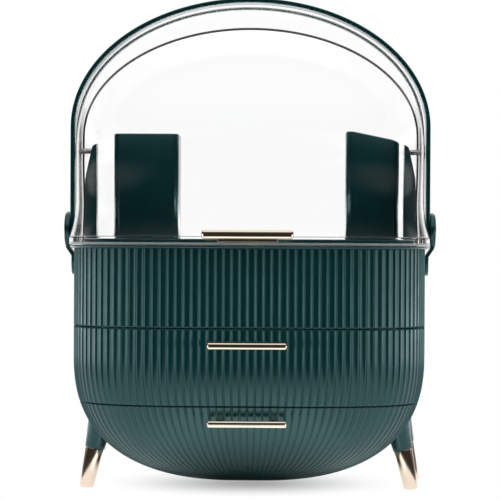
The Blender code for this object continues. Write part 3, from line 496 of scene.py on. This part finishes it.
class RibbedPlan:
    """The body's plan with a column of points at each place of each rib."""

    def __init__(self, body):
        self.body = body
        count = body.rib_count
        places = ((np.arange(count)[:, None] + RIB_PLACES) / count).ravel()
        self.flute = np.append(np.tile(RIB_DEPTHS, count), 0) * body.rib_depth
        self.x, self.y, self.out_x, self.out_y = plan_curve(
            body.half_width, body.half_depth, body.half_depth, np.append(places, 1.0))

    def ring(self, height, share=1.0, inset=0.0, ribs=1.0, scale=1.0):
        """One level: the plan at a share of its size, set in, with ribs of a share of their depth."""
        inward = inset + self.flute * ribs
        if share == 0:
            inward = inward * 0
        x = self.x * share * scale - self.out_x * inward
        y = self.y * share * scale - self.out_y * inward
        return level_ring(x, y, height)

    def level(self, height, inset):
        """One level of the bowl's outside, where the ribs fade out as it closes."""
        share = bowl_share(height, self.body.spring_height, self.body.bowl_drop)
        ribs = smooth_step((share - RIBS_GONE) / (RIBS_WHOLE - RIBS_GONE))
        return self.ring(height, share, inset, ribs)

    def outside(self, low, high, steps, round_below=False):
        """The ribbed outside from low to high, with a fine round edge above and, if asked for, below."""
        body = self.body
        start = low + FINE_EDGE if round_below else low
        heights = bowl_heights(start, high - FINE_EDGE, body.spring_height, body.bowl_drop, steps)
        rows = [self.level(height, 0) for height in heights]
        rows += [self.level(high - drop, inset) for drop, inset in FINE_EDGE_ROWS]
        if round_below:
            rows = [self.level(low + rise, inset) for rise, inset in FINE_EDGE_ROWS[::-1]] + rows
        return rows

    def inside(self, high, low, steps):
        """The smooth inside of the wall, from high down to low."""
        body = self.body
        drop = body.bowl_drop - body.wall
        scale = (body.half_width - body.wall) / body.half_width
        heights = bowl_heights(low, high, body.spring_height, drop, steps)[::-1]
        return [self.ring(height, bowl_share(height, body.spring_height, drop), 0, 0, scale)
                for height in heights]


# Pieces


class MAKEUPBOX_OT_body(bpy.types.Operator):
    """Ribbed housing and upper body"""
    bl_idname = "makeup_box.body"
    bl_label = "Ribbed Body"

    def execute(self, context):
        body = context.scene.makeup_box_body
        plan = RibbedPlan(body)
        floor = body.spring_height - body.bowl_drop
        seam = body.upper_seam
        rows = plan.outside(floor, seam, 26) + plan.inside(seam, floor + body.wall, 12)
        housing = formed_sheet("housing", np.array(rows))
        cut_across(housing, (0, middle_y + body.side_seam, 0), (0, 1, 0))
        stand_for(context, housing, "housing", 50)
        stand_for(context, self.upper_body(body, plan), "upper_body", 50)
        dressed_copy(context, "drawer_shelf")
        return {"FINISHED"}

    def upper_body(self, body, plan):
        """The ribbed band on its floor, with the rim bead outside and a ledge for the deck inside."""
        low = body.upper_seam + SEAT
        floor_top = low + body.wall
        rim = body.rim_height
        ledge = rim - 0.0031
        ledge_width = 0.0066
        rows = [plan.ring(low, 0), plan.ring(low, 1, 0.0008), plan.ring(low + 0.0002, 1, 0.0002)]
        rows += [plan.ring(low + rise) for rise in (0.0006, 0.0012, 0.02, 0.04)]
        bead_low = rim - 0.0024
        rows += [plan.ring(bead_low - drop) for drop in (0.0012, 0.0006)]
        neck = 0.0004
        stand_out = (body.bead_proud + neck) * beside_handle(plan.y)
        for height, share in ((bead_low - 0.0003, 0), (bead_low, 0.55), (bead_low + 0.0003, 0.86),
                              (bead_low + 0.0008, 1), (rim - 0.0009, 1), (rim - 0.0003, 0.88), (rim, 0.6)):
            rows.append(plan.ring(height, 1, neck - stand_out * share, 0))
        for height, inset in ((rim, body.wall), (ledge, body.wall), (ledge, ledge_width),
                              (floor_top, ledge_width)):
            rows.append(plan.ring(height, 1, inset, 0))
        rows.append(plan.ring(floor_top, 0))
        return formed_sheet("upper_body", np.array(rows))


class MAKEUPBOX_OT_deck(bpy.types.Operator):
    """Display deck and the two tall bins on it"""
    bl_idname = "makeup_box.deck"
    bl_label = "Deck and Bins"

    def execute(self, context):
        stand_for(context, self.deck(context.scene.makeup_box_body.rim_height), "display_deck")
        for node, fall in (("tall_bin_left", 0.0), ("tall_bin_right", 0.009)):
            stand_for(context, self.tall_bin(node, fall), node)
        return {"FINISHED"}

    def deck(self, rim):
        """A flange in the rim, a raised edge that the dome stands round, and a shallow tray in it."""
        low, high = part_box("display_deck")
        top = high.z
        flange = high.x
        shorter = (high.y - low.y) / 2 - flange
        raised = flange - 0.0024
        under = raised - 0.002
        tray = 0.0012
        profile = ((under, low.z), (flange, low.z), (flange, rim - 0.0003), (flange - 0.0003, rim),
                   (raised, rim), (raised, top - 0.0006), (raised - 0.0002, top - 0.0002),
                   (raised - 0.0006, top), (raised - 0.0014, top), (raised - 0.0018, top - 0.0003),
                   (raised - 0.0022, top - 0.0009), (raised - 0.003, top - tray))
        rows = [even_ring(reach, reach + shorter, reach + shorter, height) for reach, height in profile]
        rows.append(rows[-1] * (0, 0, 1))
        rows.append(rows[-1] - (0, 0, THIN_WALL))
        rows.append(even_ring(under, under + shorter, under + shorter, top - tray - THIN_WALL))
        rows.append(rows[0])
        return formed_sheet("display_deck", np.array(rows))

    def tall_bin(self, node, fall):
        """A tall bin with rounded corners, whose brim falls towards +X by the given height."""
        low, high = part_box(node)
        corner = 0.006
        profile = [(low.z + rise, inset) for rise, inset in (
            (0, 0.0024), (0.0004, 0.0012), (0.0012, 0.0004), (0.0024, 0))]
        profile += [(high.z - drop, inset) for drop, inset in (
            (0.0011, 0), (0.0004, 0.0003), (0, 0.0009), (0, 0.0013), (0.0004, 0.0019), (0.0011, THIN_WALL))]
        profile += [(low.z + rise, THIN_WALL + inset) for rise, inset in (
            (0.0044, 0), (0.0028, 0.0006), (THIN_WALL, 0.002))]
        rows = [rounded_ring(low.x + inset, high.x - inset, low.y - middle_y + inset,
                             high.y - middle_y - inset, corner - inset * 0.9, height)
                for height, inset in profile]
        # The second middle goes in before the last ring, so the inner floor is a shallow cone over a
        # flat face whose rim is open
        middle = (low + high) / 2
        for index, height in ((0, low.z), (len(rows), low.z + THIN_WALL)):
            rows.insert(index, np.tile((middle.x, middle.y - middle_y, height), (len(rows[0]), 1)))
        points = np.array(rows)
        share = (points[..., 0] - low.x) / (high.x - low.x)
        brim = points[..., 2] > high.z - 0.002
        points[..., 2] -= fall * share ** 2 * brim
        return formed_sheet(node, points)


class DomeHalf:
    """The outside of one clear half: a lower wall on the body's plan that rounds over into arches."""

    def __init__(self, dome, half_width, half_depth, cheek, radius, facing, columns=96):
        self.dome = dome
        self.half_width = half_width
        self.half_depth = half_depth
        self.cheek = cheek
        self.radius = radius
        self.facing = facing
        self.turn = np.linspace(-math.pi / 2, math.pi / 2, columns + 1)

    def wall(self, height, proud, rise):
        """One level of the lower wall; rise goes from 0 on the body's plan to 1 on the first arch."""
        lean = math.acos((self.cheek / self.half_depth) ** (PLAN_POWER / 2)) / (math.pi / 2)
        x = self.half_width * signed_power(np.sin(self.turn * lean), 2 / PLAN_POWER)
        y = self.half_depth * np.abs(np.cos(self.turn * lean)) ** (2 / PLAN_POWER)
        x = x + rise * (self.half_width * np.sin(self.turn) - x)
        y = y + rise * (self.cheek + (self.radius - self.cheek) * np.cos(self.turn) - y)
        x = np.concatenate(([-self.half_width], x, [self.half_width]))
        y = np.concatenate(([0], y, [0]))
        out_x = signed_power(x / self.half_width, PLAN_POWER - 1) / self.half_width
        out_y = (y / self.half_depth) ** (PLAN_POWER - 1) / self.half_depth
        size = np.hypot(out_x, out_y)
        reach = proud * (beside_handle(y) if proud > 0 else 1)
        return level_ring(x + reach * out_x / size, self.facing * (y + reach * out_y / size), height)

    def arch(self, angle, radius, inset=0.0, cheek=None, half_width=None):
        """One arch over the dome, at an angle about the lid's axis from the front."""
        up = math.radians(angle)
        cheek = self.cheek if cheek is None else cheek
        half_width = half_width or self.half_width
        x = (half_width - inset) * np.sin(self.turn)
        reach = cheek + (radius - inset - cheek) * np.cos(self.turn)
        x = np.concatenate(([-half_width + inset], x, [half_width - inset]))
        reach = np.concatenate(([0], reach, [0]))
        return np.stack((x, -reach * math.cos(up), self.dome.pivot_height + reach * math.sin(up)), axis=-1)

    def lower_rows(self, base):
        """The thick foot, the flare that runs out above it, and the belly up to the lid's axis."""
        dome = self.dome
        proud = dome.foot_proud
        edge = 0.0004
        foot_top = base + dome.foot_height
        start = dome.belly_height + 0.004
        rows = [self.wall(height, reach, 0) for height, reach in (
            (base, -0.001), (base, proud - edge), (base + edge, proud), (foot_top - edge, proud),
            (foot_top, proud - edge))]
        for share in np.linspace(0, 1, 12)[:-1]:
            flare = proud * 0.88 * (1 - share) ** 1.72
            rows.append(self.wall(foot_top + edge + (start - foot_top) * share, flare, 0))
        for share in np.linspace(0, 1, 13)[:-1]:
            height = start + (dome.pivot_height - start) * share
            belly_share = (height - dome.belly_height) / (dome.pivot_height - dome.belly_height)
            rows.append(self.wall(height, 0, smooth_step(belly_share)))
        return rows


class MAKEUPBOX_OT_dome(bpy.types.Operator):
    """Clear front lid, clear rear cover, their ears and pins"""
    bl_idname = "makeup_box.dome"
    bl_label = "Clear Dome"

    # Angles about the lid's axis, from the front, where the lid and the rear cover end
    LID_END = 98
    REAR_END = 94

    def execute(self, context):
        dome = context.scene.makeup_box_dome
        base = context.scene.makeup_box_body.rim_height + SEAT
        stand_for(context, self.lid(dome, base), "lid_front_cover", 40)
        radius = dome.rear_radius
        rear = DomeHalf(dome, dome.rear_half_width, dome.rear_half_depth, dome.rear_cheek, radius, 1)
        rows = rear.lower_rows(base)
        rows += [rear.arch(angle, radius) for angle in np.linspace(180, self.REAR_END, 25)]
        stand_for(context, self.shell("lid_rear_cover", rows, dome.wall), "lid_rear_cover", 40)
        for word in ("left", "right"):
            dressed_copy(context, "lid_ear_" + word, 0.0006, 3)
            dressed_copy(context, "lid_pin_" + word, 0.0002)
        return {"FINISHED"}

    def lid(self, dome, base):
        """The front half, which swells towards its top, with its lip and a boss at each pin."""
        half = DomeHalf(dome, dome.lid_half_width, dome.lid_half_depth, dome.lid_cheek, dome.lid_front, -1)
        rows = half.lower_rows(base)
        for angle in np.linspace(0, self.LID_END, 29):
            swell = math.sin(math.radians(min(angle, 90))) ** 2
            rows.append(half.arch(angle, dome.lid_front + (dome.lid_top - dome.lid_front) * swell))
        shell = self.shell("lid_front_cover", rows, dome.wall)
        half.radius = dome.lid_top
        return join_pieces([shell, self.lip(dome, half)] + [self.lug(dome, side) for side in (-1, 1)])

    def lip(self, dome, half):
        """The strip between the lid's back edge and the rear cover; its two small ends are open."""
        width = math.degrees(0.002 / 0.117)
        inner_radius = 0.1033
        front = self.LID_END - width
        outer = [half.arch(angle, half.radius, 0.00205) for angle in (front, self.LID_END)]
        inner = [half.arch(angle, inner_radius, 0, dome.rear_cheek + SEAT, dome.rear_half_width + SEAT)
                 for angle in (front, self.LID_END)]
        rows = (outer[0], inner[0], inner[1], outer[1], outer[0])
        return formed_sheet("lid_lip", np.array([row[1:-1] for row in rows]))

    def shell(self, name, rows, wall):
        """A sheet with its outside turned out and the wall's thickness added inwards."""
        piece = formed_sheet(name, np.array(rows))
        highest = max(piece.data.polygons, key=lambda face: face.center.z)
        if highest.normal.z < 0:
            piece.data.flip_normals()
        apply_modifier(piece, "SOLIDIFY", thickness=wall, offset=-1, use_even_offset=True)
        return piece

    def lug(self, dome, side):
        """A thin round boss over the pin's hole."""
        thickness = 0.0003
        profile = ((0.0, thickness), (0.0076, thickness), (0.008, 0.0), (0.0, 0.0))
        foot = (side * (dome.lid_half_width + 0.00005), 0, dome.pivot_height)
        return turned("lug", profile, foot, (side, 0, 0))


class MAKEUPBOX_OT_drawers(bpy.types.Operator):
    """Ribbed drawer fronts, tubs and runners"""
    bl_idname = "makeup_box.drawers"
    bl_label = "Drawers"

    def execute(self, context):
        body = context.scene.makeup_box_body
        plan = RibbedPlan(body)
        half_gap = body.seam_gap / 2
        floor = body.spring_height - body.bowl_drop
        low, high = body.lower_seam + half_gap, body.upper_seam - half_gap
        rows = plan.outside(low, high, 10, round_below=True) + plan.inside(high, low, 6)
        rows.append(rows[0])
        upper = formed_sheet("upper_drawer_front", np.array(rows))
        high = body.lower_seam - half_gap
        rows = plan.outside(floor, high, 24) + plan.inside(high, floor + body.wall, 12)
        lower = formed_sheet("lower_drawer_front", np.array(rows))
        for front, node in ((upper, "upper_drawer_front"), (lower, "lower_drawer_front")):
            cut_across(front, (0, middle_y + body.side_seam - body.seam_gap, 0), (0, -1, 0))
            stand_for(context, front, node, 50)

        for node, drop, half_width, foot, lip_back in (
                ("upper_drawer_tub", body.bowl_drop - body.wall, 0.1195, 0.004, 0.066),
                ("lower_drawer_tub", body.bowl_drop - 0.0062, 0.1212, 0, 0.058)):
            stand_for(context, self.tub(body, node, drop, half_width, foot, lip_back), node)
        for level in ("upper", "lower"):
            for word in ("left", "right"):
                dressed_copy(context, f"{level}_runner_{word}", 0.0003)
        return {"FINISHED"}

    def tub(self, body, node, drop, half_width, foot, lip_back):
        """A drawer's tub with a rounded brim, a foot set in by a rounding, and a lip at each side."""
        low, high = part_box(node)
        floor = low.z
        inner_floor = floor + THIN_WALL
        spring = body.spring_height
        front = body.half_depth - body.wall - SEAT
        back = body.half_depth - body.wall - 0.003

        def ring(height, share, inset):
            scale = ((share * half_width - inset) / half_width, (share * front - inset) / front, 1)
            return even_ring(half_width, front, back, height) * scale

        outer = []
        for height in np.linspace(0, 1, 17) ** 1.6 * (high.z - 0.001 - floor) + floor:
            inset = foot * (1 - min(1, (height - floor) / 0.004)) ** 2
            outer.append((height, max(bowl_share(height, spring, drop), 0.05), inset))
        brim = bowl_share(high.z, spring, drop)
        rows = [even_ring(half_width, front, back, floor) * (0, 0, 1)]
        rows += [ring(*level) for level in outer]
        rows += [ring(high.z - fall, brim, inset) for fall, inset in (
            (0.0003, 0.0003), (0, 0.0009), (0.0003, THIN_WALL - 0.0003))]
        rows += [ring(height, share, THIN_WALL + inset * 0.6) for height, share, inset in outer[::-1]
                 if height > inner_floor]
        rows.append(ring(inner_floor, bowl_share(inner_floor, spring, drop), THIN_WALL + 0.004))
        rows.append(rows[0] + (0, 0, THIN_WALL))
        pieces = [formed_sheet(node, np.array(rows))]

        # Each lip slides on the runner at its side
        lip_low = high.z - 0.0023
        near = half_width * bowl_share(lip_low, spring, drop) - 0.001
        for side in (-1, 1):
            first, last = sorted((side * near, side * high.x))
            lip_end = (last, lip_back, high.z - 0.0003)
            pieces.append(rounded_block((first, -0.060, lip_low), lip_end, 0.0004, 2))
        return join_pieces(pieces)


class MAKEUPBOX_OT_pulls(bpy.types.Operator):
    """Gold pull bars of the drawers and the lid"""
    bl_idname = "makeup_box.pulls"
    bl_label = "Pull Bars"

    def execute(self, context):
        bar_depth = 0.005
        post_height = 0.0034
        drawer_posts = ((-0.0246, -0.0186), (0.0186, 0.0246))
        for node, bar_height, edge, posts in (("upper_drawer_handle", 0.0052, 0.0016, drawer_posts),
                                              ("lower_drawer_handle", 0.0052, 0.0016, drawer_posts),
                                              ("lid_handle", 0.0068, 0.0021, ((-0.023, 0.023),))):
            low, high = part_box(node)
            front, back = low.y - middle_y, high.y - middle_y
            bar_low = (low.x, front, high.z - bar_height)
            pieces = [rounded_block(bar_low, (high.x, front + bar_depth, high.z), edge, 5)]
            post_low = high.z - (bar_height + post_height) / 2
            post_high = post_low + post_height
            post_edge = 0.0006
            if node == "lid_handle":
                post_low, post_high, post_edge = low.z, low.z + 0.0044, 0.00012
            for left, right in posts:
                post_front = (left, front + 0.004, post_low)
                pieces.append(rounded_block(post_front, (right, back, post_high), post_edge, 3))
            stand_for(context, join_pieces(pieces), node, 60)
        return {"FINISHED"}


class MAKEUPBOX_OT_carry_handle(bpy.types.Operator):
    """Strap-shaped carry handle with its brackets, pins and caps"""
    bl_idname = "makeup_box.carry_handle"
    bl_label = "Carry Handle"

    def execute(self, context):
        handle = context.scene.makeup_box_handle
        stand_for(context, self.strap(handle), "carry_handle", 40)
        for word, side in SIDES:
            dressed_copy(context, "handle_bracket_" + word, 0.0005, 3)
            dressed_copy(context, "handle_pin_" + word, 0.0002)
            low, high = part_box("pivot_cap_" + word)
            foot = (side * min(abs(low.x), abs(high.x)), 0, handle.pivot_height)
            profile = self.cap_profile(handle.cap_radius, high.x - low.x)
            cap = turned("pivot_cap_" + word, profile, foot, (side, 0, 0))
            stand_for(context, cap, "pivot_cap_" + word, 40)
        return {"FINISHED"}

    def strap(self, handle):
        """A round end at the pivot, a straight side and half the arch, and the same mirrored."""
        half = handle.thickness / 2
        middle_x = handle.half_width - half
        spring = handle.spring_height
        rise = handle.top_height - half - spring
        end = handle.width / 2
        rows = []
        for turn in range(90, 0, -9):
            angle = math.radians(turn)
            centre = (middle_x, handle.pivot_height - end * math.sin(angle))
            rows.append(self.section(half, centre, (1, 0), end * math.cos(angle)))
        for share in (0, 0.5):
            height = handle.pivot_height + (spring - handle.pivot_height) * share
            rows.append(self.section(half, (middle_x, height), (1, 0), end))
        for angle in np.linspace(0, math.pi / 2, 97):
            centre = (middle_x * math.cos(angle), spring + rise * math.sin(angle))
            outward = Vector((math.cos(angle) / middle_x, math.sin(angle) / rise)).normalized()
            rows.append(self.section(half, centre, outward, end))
        right = np.array(rows)
        left = right[::-1][1:] * (-1, 1, 1)
        return formed_sheet("carry_handle", np.concatenate((right, left)))

    def section(self, half, centre, outward, half_width):
        """One cross-section of the strap, a flat bar with rounded corners."""
        edge = min(0.0009, half_width)
        across, along = half - edge, half_width - edge
        corners = []
        for x, y, start in ((across, along, 0), (-across, along, 90), (-across, -along, 180),
                            (across, -along, 270)):
            for turn in (0, 30, 60, 90):
                angle = math.radians(start + turn)
                corners.append((x + edge * math.cos(angle), y + edge * math.sin(angle)))
        corners.append(corners[0])
        return [(centre[0] + outward[0] * x, y, centre[1] + outward[1] * x) for x, y in corners]

    def cap_profile(self, radius, thickness):
        """A low round cap that swells from a thin edge."""
        edge = 0.0004
        rise = thickness - edge
        profile = [(0.0, 0.0), (radius - 0.0003, 0.0), (radius, 0.0003)]
        for turn in range(0, 90, 10):
            angle = math.radians(turn)
            profile.append((radius * math.cos(angle) ** 0.6, edge + rise * math.sin(angle)))
        profile.append((0.0, edge + rise))
        return profile


class MAKEUPBOX_OT_legs(bpy.types.Operator):
    """Leg sockets that grow out of the bowl, and gold leg tips"""
    bl_idname = "makeup_box.legs"
    bl_label = "Legs"

    def execute(self, context):
        room = self.bowl_room(context.scene.makeup_box_body)
        splay = math.radians(12.3)
        joint_height = 0.0318
        for row, x, y in (("front", 0.1242, -0.015), ("rear", 0.1287, 0.052)):
            for word, side in SIDES:
                foot = (side * x, y, joint_height)
                axis = (-side * math.sin(splay), 0, math.cos(splay))
                socket = self.socket(f"leg_socket_{row}_{word}", foot, axis)
                apply_modifier(socket, "BOOLEAN", operation="DIFFERENCE", object=room, solver="EXACT")
                stand_for(context, socket, f"leg_socket_{row}_{word}", 40)
                tip = self.tip(f"leg_tip_{row}_{word}", foot, axis)
                cut_across(tip, (0, 0, 0), (0, 0, 1))
                stand_for(context, tip, f"leg_tip_{row}_{word}", 40)
        bpy.data.objects.remove(room)
        return {"FINISHED"}

    def bowl_room(self, body):
        """The room that the bowl fills, a little smaller, so that a socket cut by it meets the bowl."""
        spring, drop = body.spring_height, body.bowl_drop
        places = np.linspace(0, 1, 193)
        x, y, out_x, out_y = plan_curve(body.half_width, body.half_depth, body.half_depth, places)
        rows = []
        for height in bowl_heights(spring - drop, body.upper_seam, spring, drop, 24):
            share = bowl_share(height, spring, drop)
            inset = 0.0004 if share else 0
            rows.append(level_ring(x * share - out_x * inset, y * share - out_y * inset, height))
        rows.append(rows[-1] * (0, 0, 1))
        return formed_sheet("bowl_room", np.array(rows))

    def socket(self, name, foot, axis):
        """A socket that widens upwards from its fine lower edge."""
        radius, edge = 0.0081, 0.0005
        flare, height = 0.0037, 0.034
        profile = [(0.0, 0.0002), (0.0072, 0.0002), (0.0076, 0.0), (0.0079, 0.0001), (radius, edge)]
        profile += [(radius + flare * share ** 1.15, edge + (height - edge) * share)
                    for share in np.linspace(0, 1, 13)[1:]]
        profile.append((0.0, height))
        return turned(name, profile, foot, axis)

    def tip(self, name, foot, axis):
        """A tapering tip with a round end, which the floor then cuts flat."""
        radius, taper = 0.0057, 0.030
        profile = [(0.0, -0.0001), (0.007, -0.0001), (0.00745, -0.0003), (0.0076, -0.0008)]
        profile.append((radius, -taper))
        for turn in range(15, 90, 15):
            angle = math.radians(turn)
            profile.append((radius * math.cos(angle) ** 0.8, -taper - 0.004 * math.sin(angle)))
        profile.append((0.0, -taper - 0.004))
        return turned(name, profile, foot, axis)


# Stage


def seen_rays(tree):
    """1 for rays from the eye, also through clear plastic, before any other bounce."""
    rays = tree.nodes.new("ShaderNodeLightPath").outputs
    eye = join_values(tree, "MAXIMUM", rays["Is Camera Ray"], rays["Is Transmission Ray"])
    bounces = join_values(tree, "ADD", rays["Glossy Depth"], rays["Diffuse Depth"])
    return join_values(tree, "MULTIPLY", eye, join_values(tree, "LESS_THAN", bounces, 0.5))


def length_of(tree, vector):
    measure = tree.nodes.new("ShaderNodeVectorMath")
    measure.operation = "LENGTH"
    tree.links.new(vector, measure.inputs[0])
    return measure.outputs["Value"]


def floor_material(colour):
    """Matt floor that fades into the white background, and lights the ribs from far to each side."""
    finish = bpy.data.materials.new("studio floor")
    finish.use_nodes = True
    tree = finish.node_tree
    shader = tree.nodes["Principled BSDF"]
    shader.inputs["Roughness"].default_value = 0.6
    shader.inputs["Specular IOR Level"].default_value = 0.2
    place = object_place(tree)
    parts = split(tree, place)
    aside = join_values(tree, "ABSOLUTE", parts["X"], 0.0)
    seen = seen_rays(tree)
    unseen = join_values(tree, "SUBTRACT", 1.0, seen)

    # Other surfaces see the floor dark in front of the object
    slant = join_values(tree, "ADD", parts["Y"], join_values(tree, "MULTIPLY", aside, 0.8))
    dark = join_values(tree, "MULTIPLY", map_range(tree, slant, -0.1, -0.75, 0.0, 1.0), unseen)
    tree.links.new(mix_colours(tree, dark, colour, DARK), shader.inputs["Base Color"])
    white = tree.nodes.new("ShaderNodeEmission")
    tree.links.new(mix_colours(tree, dark, WHITE, DARK), white.inputs["Color"])

    # They see it brighter under the object and far to the sides
    near = map_range(tree, aside, 0.07, 0.115, 0.55, 0.0)
    far = map_range(tree, aside, 0.8, 2.4, 0.0, 1.7)
    extra = join_values(tree, "MULTIPLY", join_values(tree, "ADD", near, far), unseen)
    tree.links.new(join_values(tree, "ADD", extra, 1.0), white.inputs["Strength"])

    # The eye and gloss each see a soft shadow under the object
    shift = tree.nodes.new("ShaderNodeMapping")
    shift.inputs["Location"].default_value = (0, -0.04, 0)
    tree.links.new(place, shift.inputs["Vector"])
    fade = map_range(tree, length_of(tree, shift.outputs["Vector"]), 0.0, 0.13, 0.3, 1.0)
    shade = map_range(tree, length_of(tree, place), 0.03, 0.14, 0.0, 1.0)
    glossy = tree.nodes.new("ShaderNodeLightPath").outputs["Is Glossy Ray"]
    eye = join_values(tree, "MULTIPLY", fade, seen)
    gloss = join_values(tree, "MULTIPLY", glossy, shade)
    mix = tree.nodes.new("ShaderNodeMixShader")
    tree.links.new(join_values(tree, "MAXIMUM", eye, gloss), mix.inputs["Fac"])
    tree.links.new(shader.outputs["BSDF"], mix.inputs[1])
    tree.links.new(white.outputs["Emission"], mix.inputs[2])
    tree.links.new(mix.outputs["Shader"], tree.nodes["Material Output"].inputs["Surface"])
    return finish


def studio_world():
    """A white wall behind and a soft light above, with dark screens low at the sides."""
    world = bpy.data.worlds.new("studio")
    world.use_nodes = True
    tree = world.node_tree
    background = tree.nodes["Background"]
    background.inputs["Strength"].default_value = 1.0
    parts = split(tree, tree.nodes.new("ShaderNodeTexCoord").outputs["Generated"])
    back = map_range(tree, parts["Y"], -0.05, 0.35, 0.0, 1.0)
    above = map_range(tree, parts["Z"], 0.3, 0.7, 0.0, 1.0)
    aside = map_range(tree, join_values(tree, "ABSOLUTE", parts["X"], 0.0), 0.5, 0.64, 0.0, 0.9)
    low = map_range(tree, parts["Z"], 0.32, 0.2, 0.0, 1.0)
    open_part = join_values(tree, "SUBTRACT", 1.0, join_values(tree, "MULTIPLY", aside, low))
    bright = join_values(tree, "MULTIPLY", join_values(tree, "MAXIMUM", back, above), open_part)
    lit = join_values(tree, "MAXIMUM", bright, seen_rays(tree))
    warm_dark = (0.03, 0.028, 0.025)
    tree.links.new(mix_colours(tree, lit, warm_dark, WHITE), background.inputs["Color"])
    return world


def studio_camera():
    """A long lens in front of the box, a little to the right, with a slight roll."""
    lens = bpy.data.cameras.new("studio_camera")
    lens.lens = 168.3
    lens.sensor_width = 36
    camera = bpy.data.objects.new("studio_camera", lens)
    eye = Vector((0.033, middle_y - 1.9, 0.1956))
    aim = Vector((0.0, middle_y, 0.1919))
    roll = Quaternion((0, 0, 1), math.radians(0.28))
    camera.location = eye
    camera.rotation_euler = ((aim - eye).to_track_quat("-Z", "Y") @ roll).to_euler()
    return camera


class MAKEUPBOX_OT_stage(bpy.types.Operator):
    """Floor, studio light and camera"""
    bl_idname = "makeup_box.stage"
    bl_label = "Stage"

    def execute(self, context):
        bpy.ops.object.select_all(action="DESELECT")
        bpy.ops.mesh.primitive_grid_add(x_subdivisions=8, y_subdivisions=8, size=120, location=(0, 0, 0))
        floor = context.object
        floor.name = "studio_floor"
        floor.data.materials.append(floor_material(context.scene.makeup_box_finish.floor))
        scene = context.scene
        scene.world = studio_world()
        scene.camera = studio_camera()
        scene.collection.objects.link(scene.camera)
        scene.view_settings.view_transform = "Standard"
        return {"FINISHED"}


class MAKEUPBOX_PT_panel(bpy.types.Panel):
    bl_idname = "MAKEUPBOX_PT_panel"
    bl_label = "Makeup Box"
    bl_space_type = "VIEW_3D"
    bl_region_type = "UI"
    bl_category = "Makeup Box"

    def draw(self, context):
        column = self.layout.column()
        for operator in OPERATORS:
            column.operator(operator.bl_idname)
        for group_name, kind in GROUPS.items():
            box = column.box()
            for name in kind.__annotations__:
                box.prop(getattr(context.scene, group_name), name)


OPERATORS = (MAKEUPBOX_OT_body, MAKEUPBOX_OT_deck, MAKEUPBOX_OT_dome, MAKEUPBOX_OT_drawers,
             MAKEUPBOX_OT_pulls, MAKEUPBOX_OT_carry_handle, MAKEUPBOX_OT_legs, MAKEUPBOX_OT_stage)
GROUPS = {"makeup_box_body": MakeupBoxBody, "makeup_box_dome": MakeupBoxDome,
          "makeup_box_handle": MakeupBoxHandle, "makeup_box_finish": MakeupBoxFinish}


def register():
    for cls in (*GROUPS.values(), *OPERATORS, MAKEUPBOX_PT_panel):
        bpy.utils.register_class(cls)
    for name, group in GROUPS.items():
        setattr(bpy.types.Scene, name, PointerProperty(type=group))


def unregister():
    for name in GROUPS:
        delattr(bpy.types.Scene, name)
    for cls in (MAKEUPBOX_PT_panel, *reversed(OPERATORS), *GROUPS.values()):
        bpy.utils.unregister_class(cls)


def main():
    register()
    bpy.ops.makeup_box.body()
    bpy.ops.makeup_box.deck()
    bpy.ops.makeup_box.dome()
    bpy.ops.makeup_box.drawers()
    bpy.ops.makeup_box.pulls()
    bpy.ops.makeup_box.carry_handle()
    bpy.ops.makeup_box.legs()
    bpy.ops.makeup_box.stage()


if __name__ == "__main__":
    main()
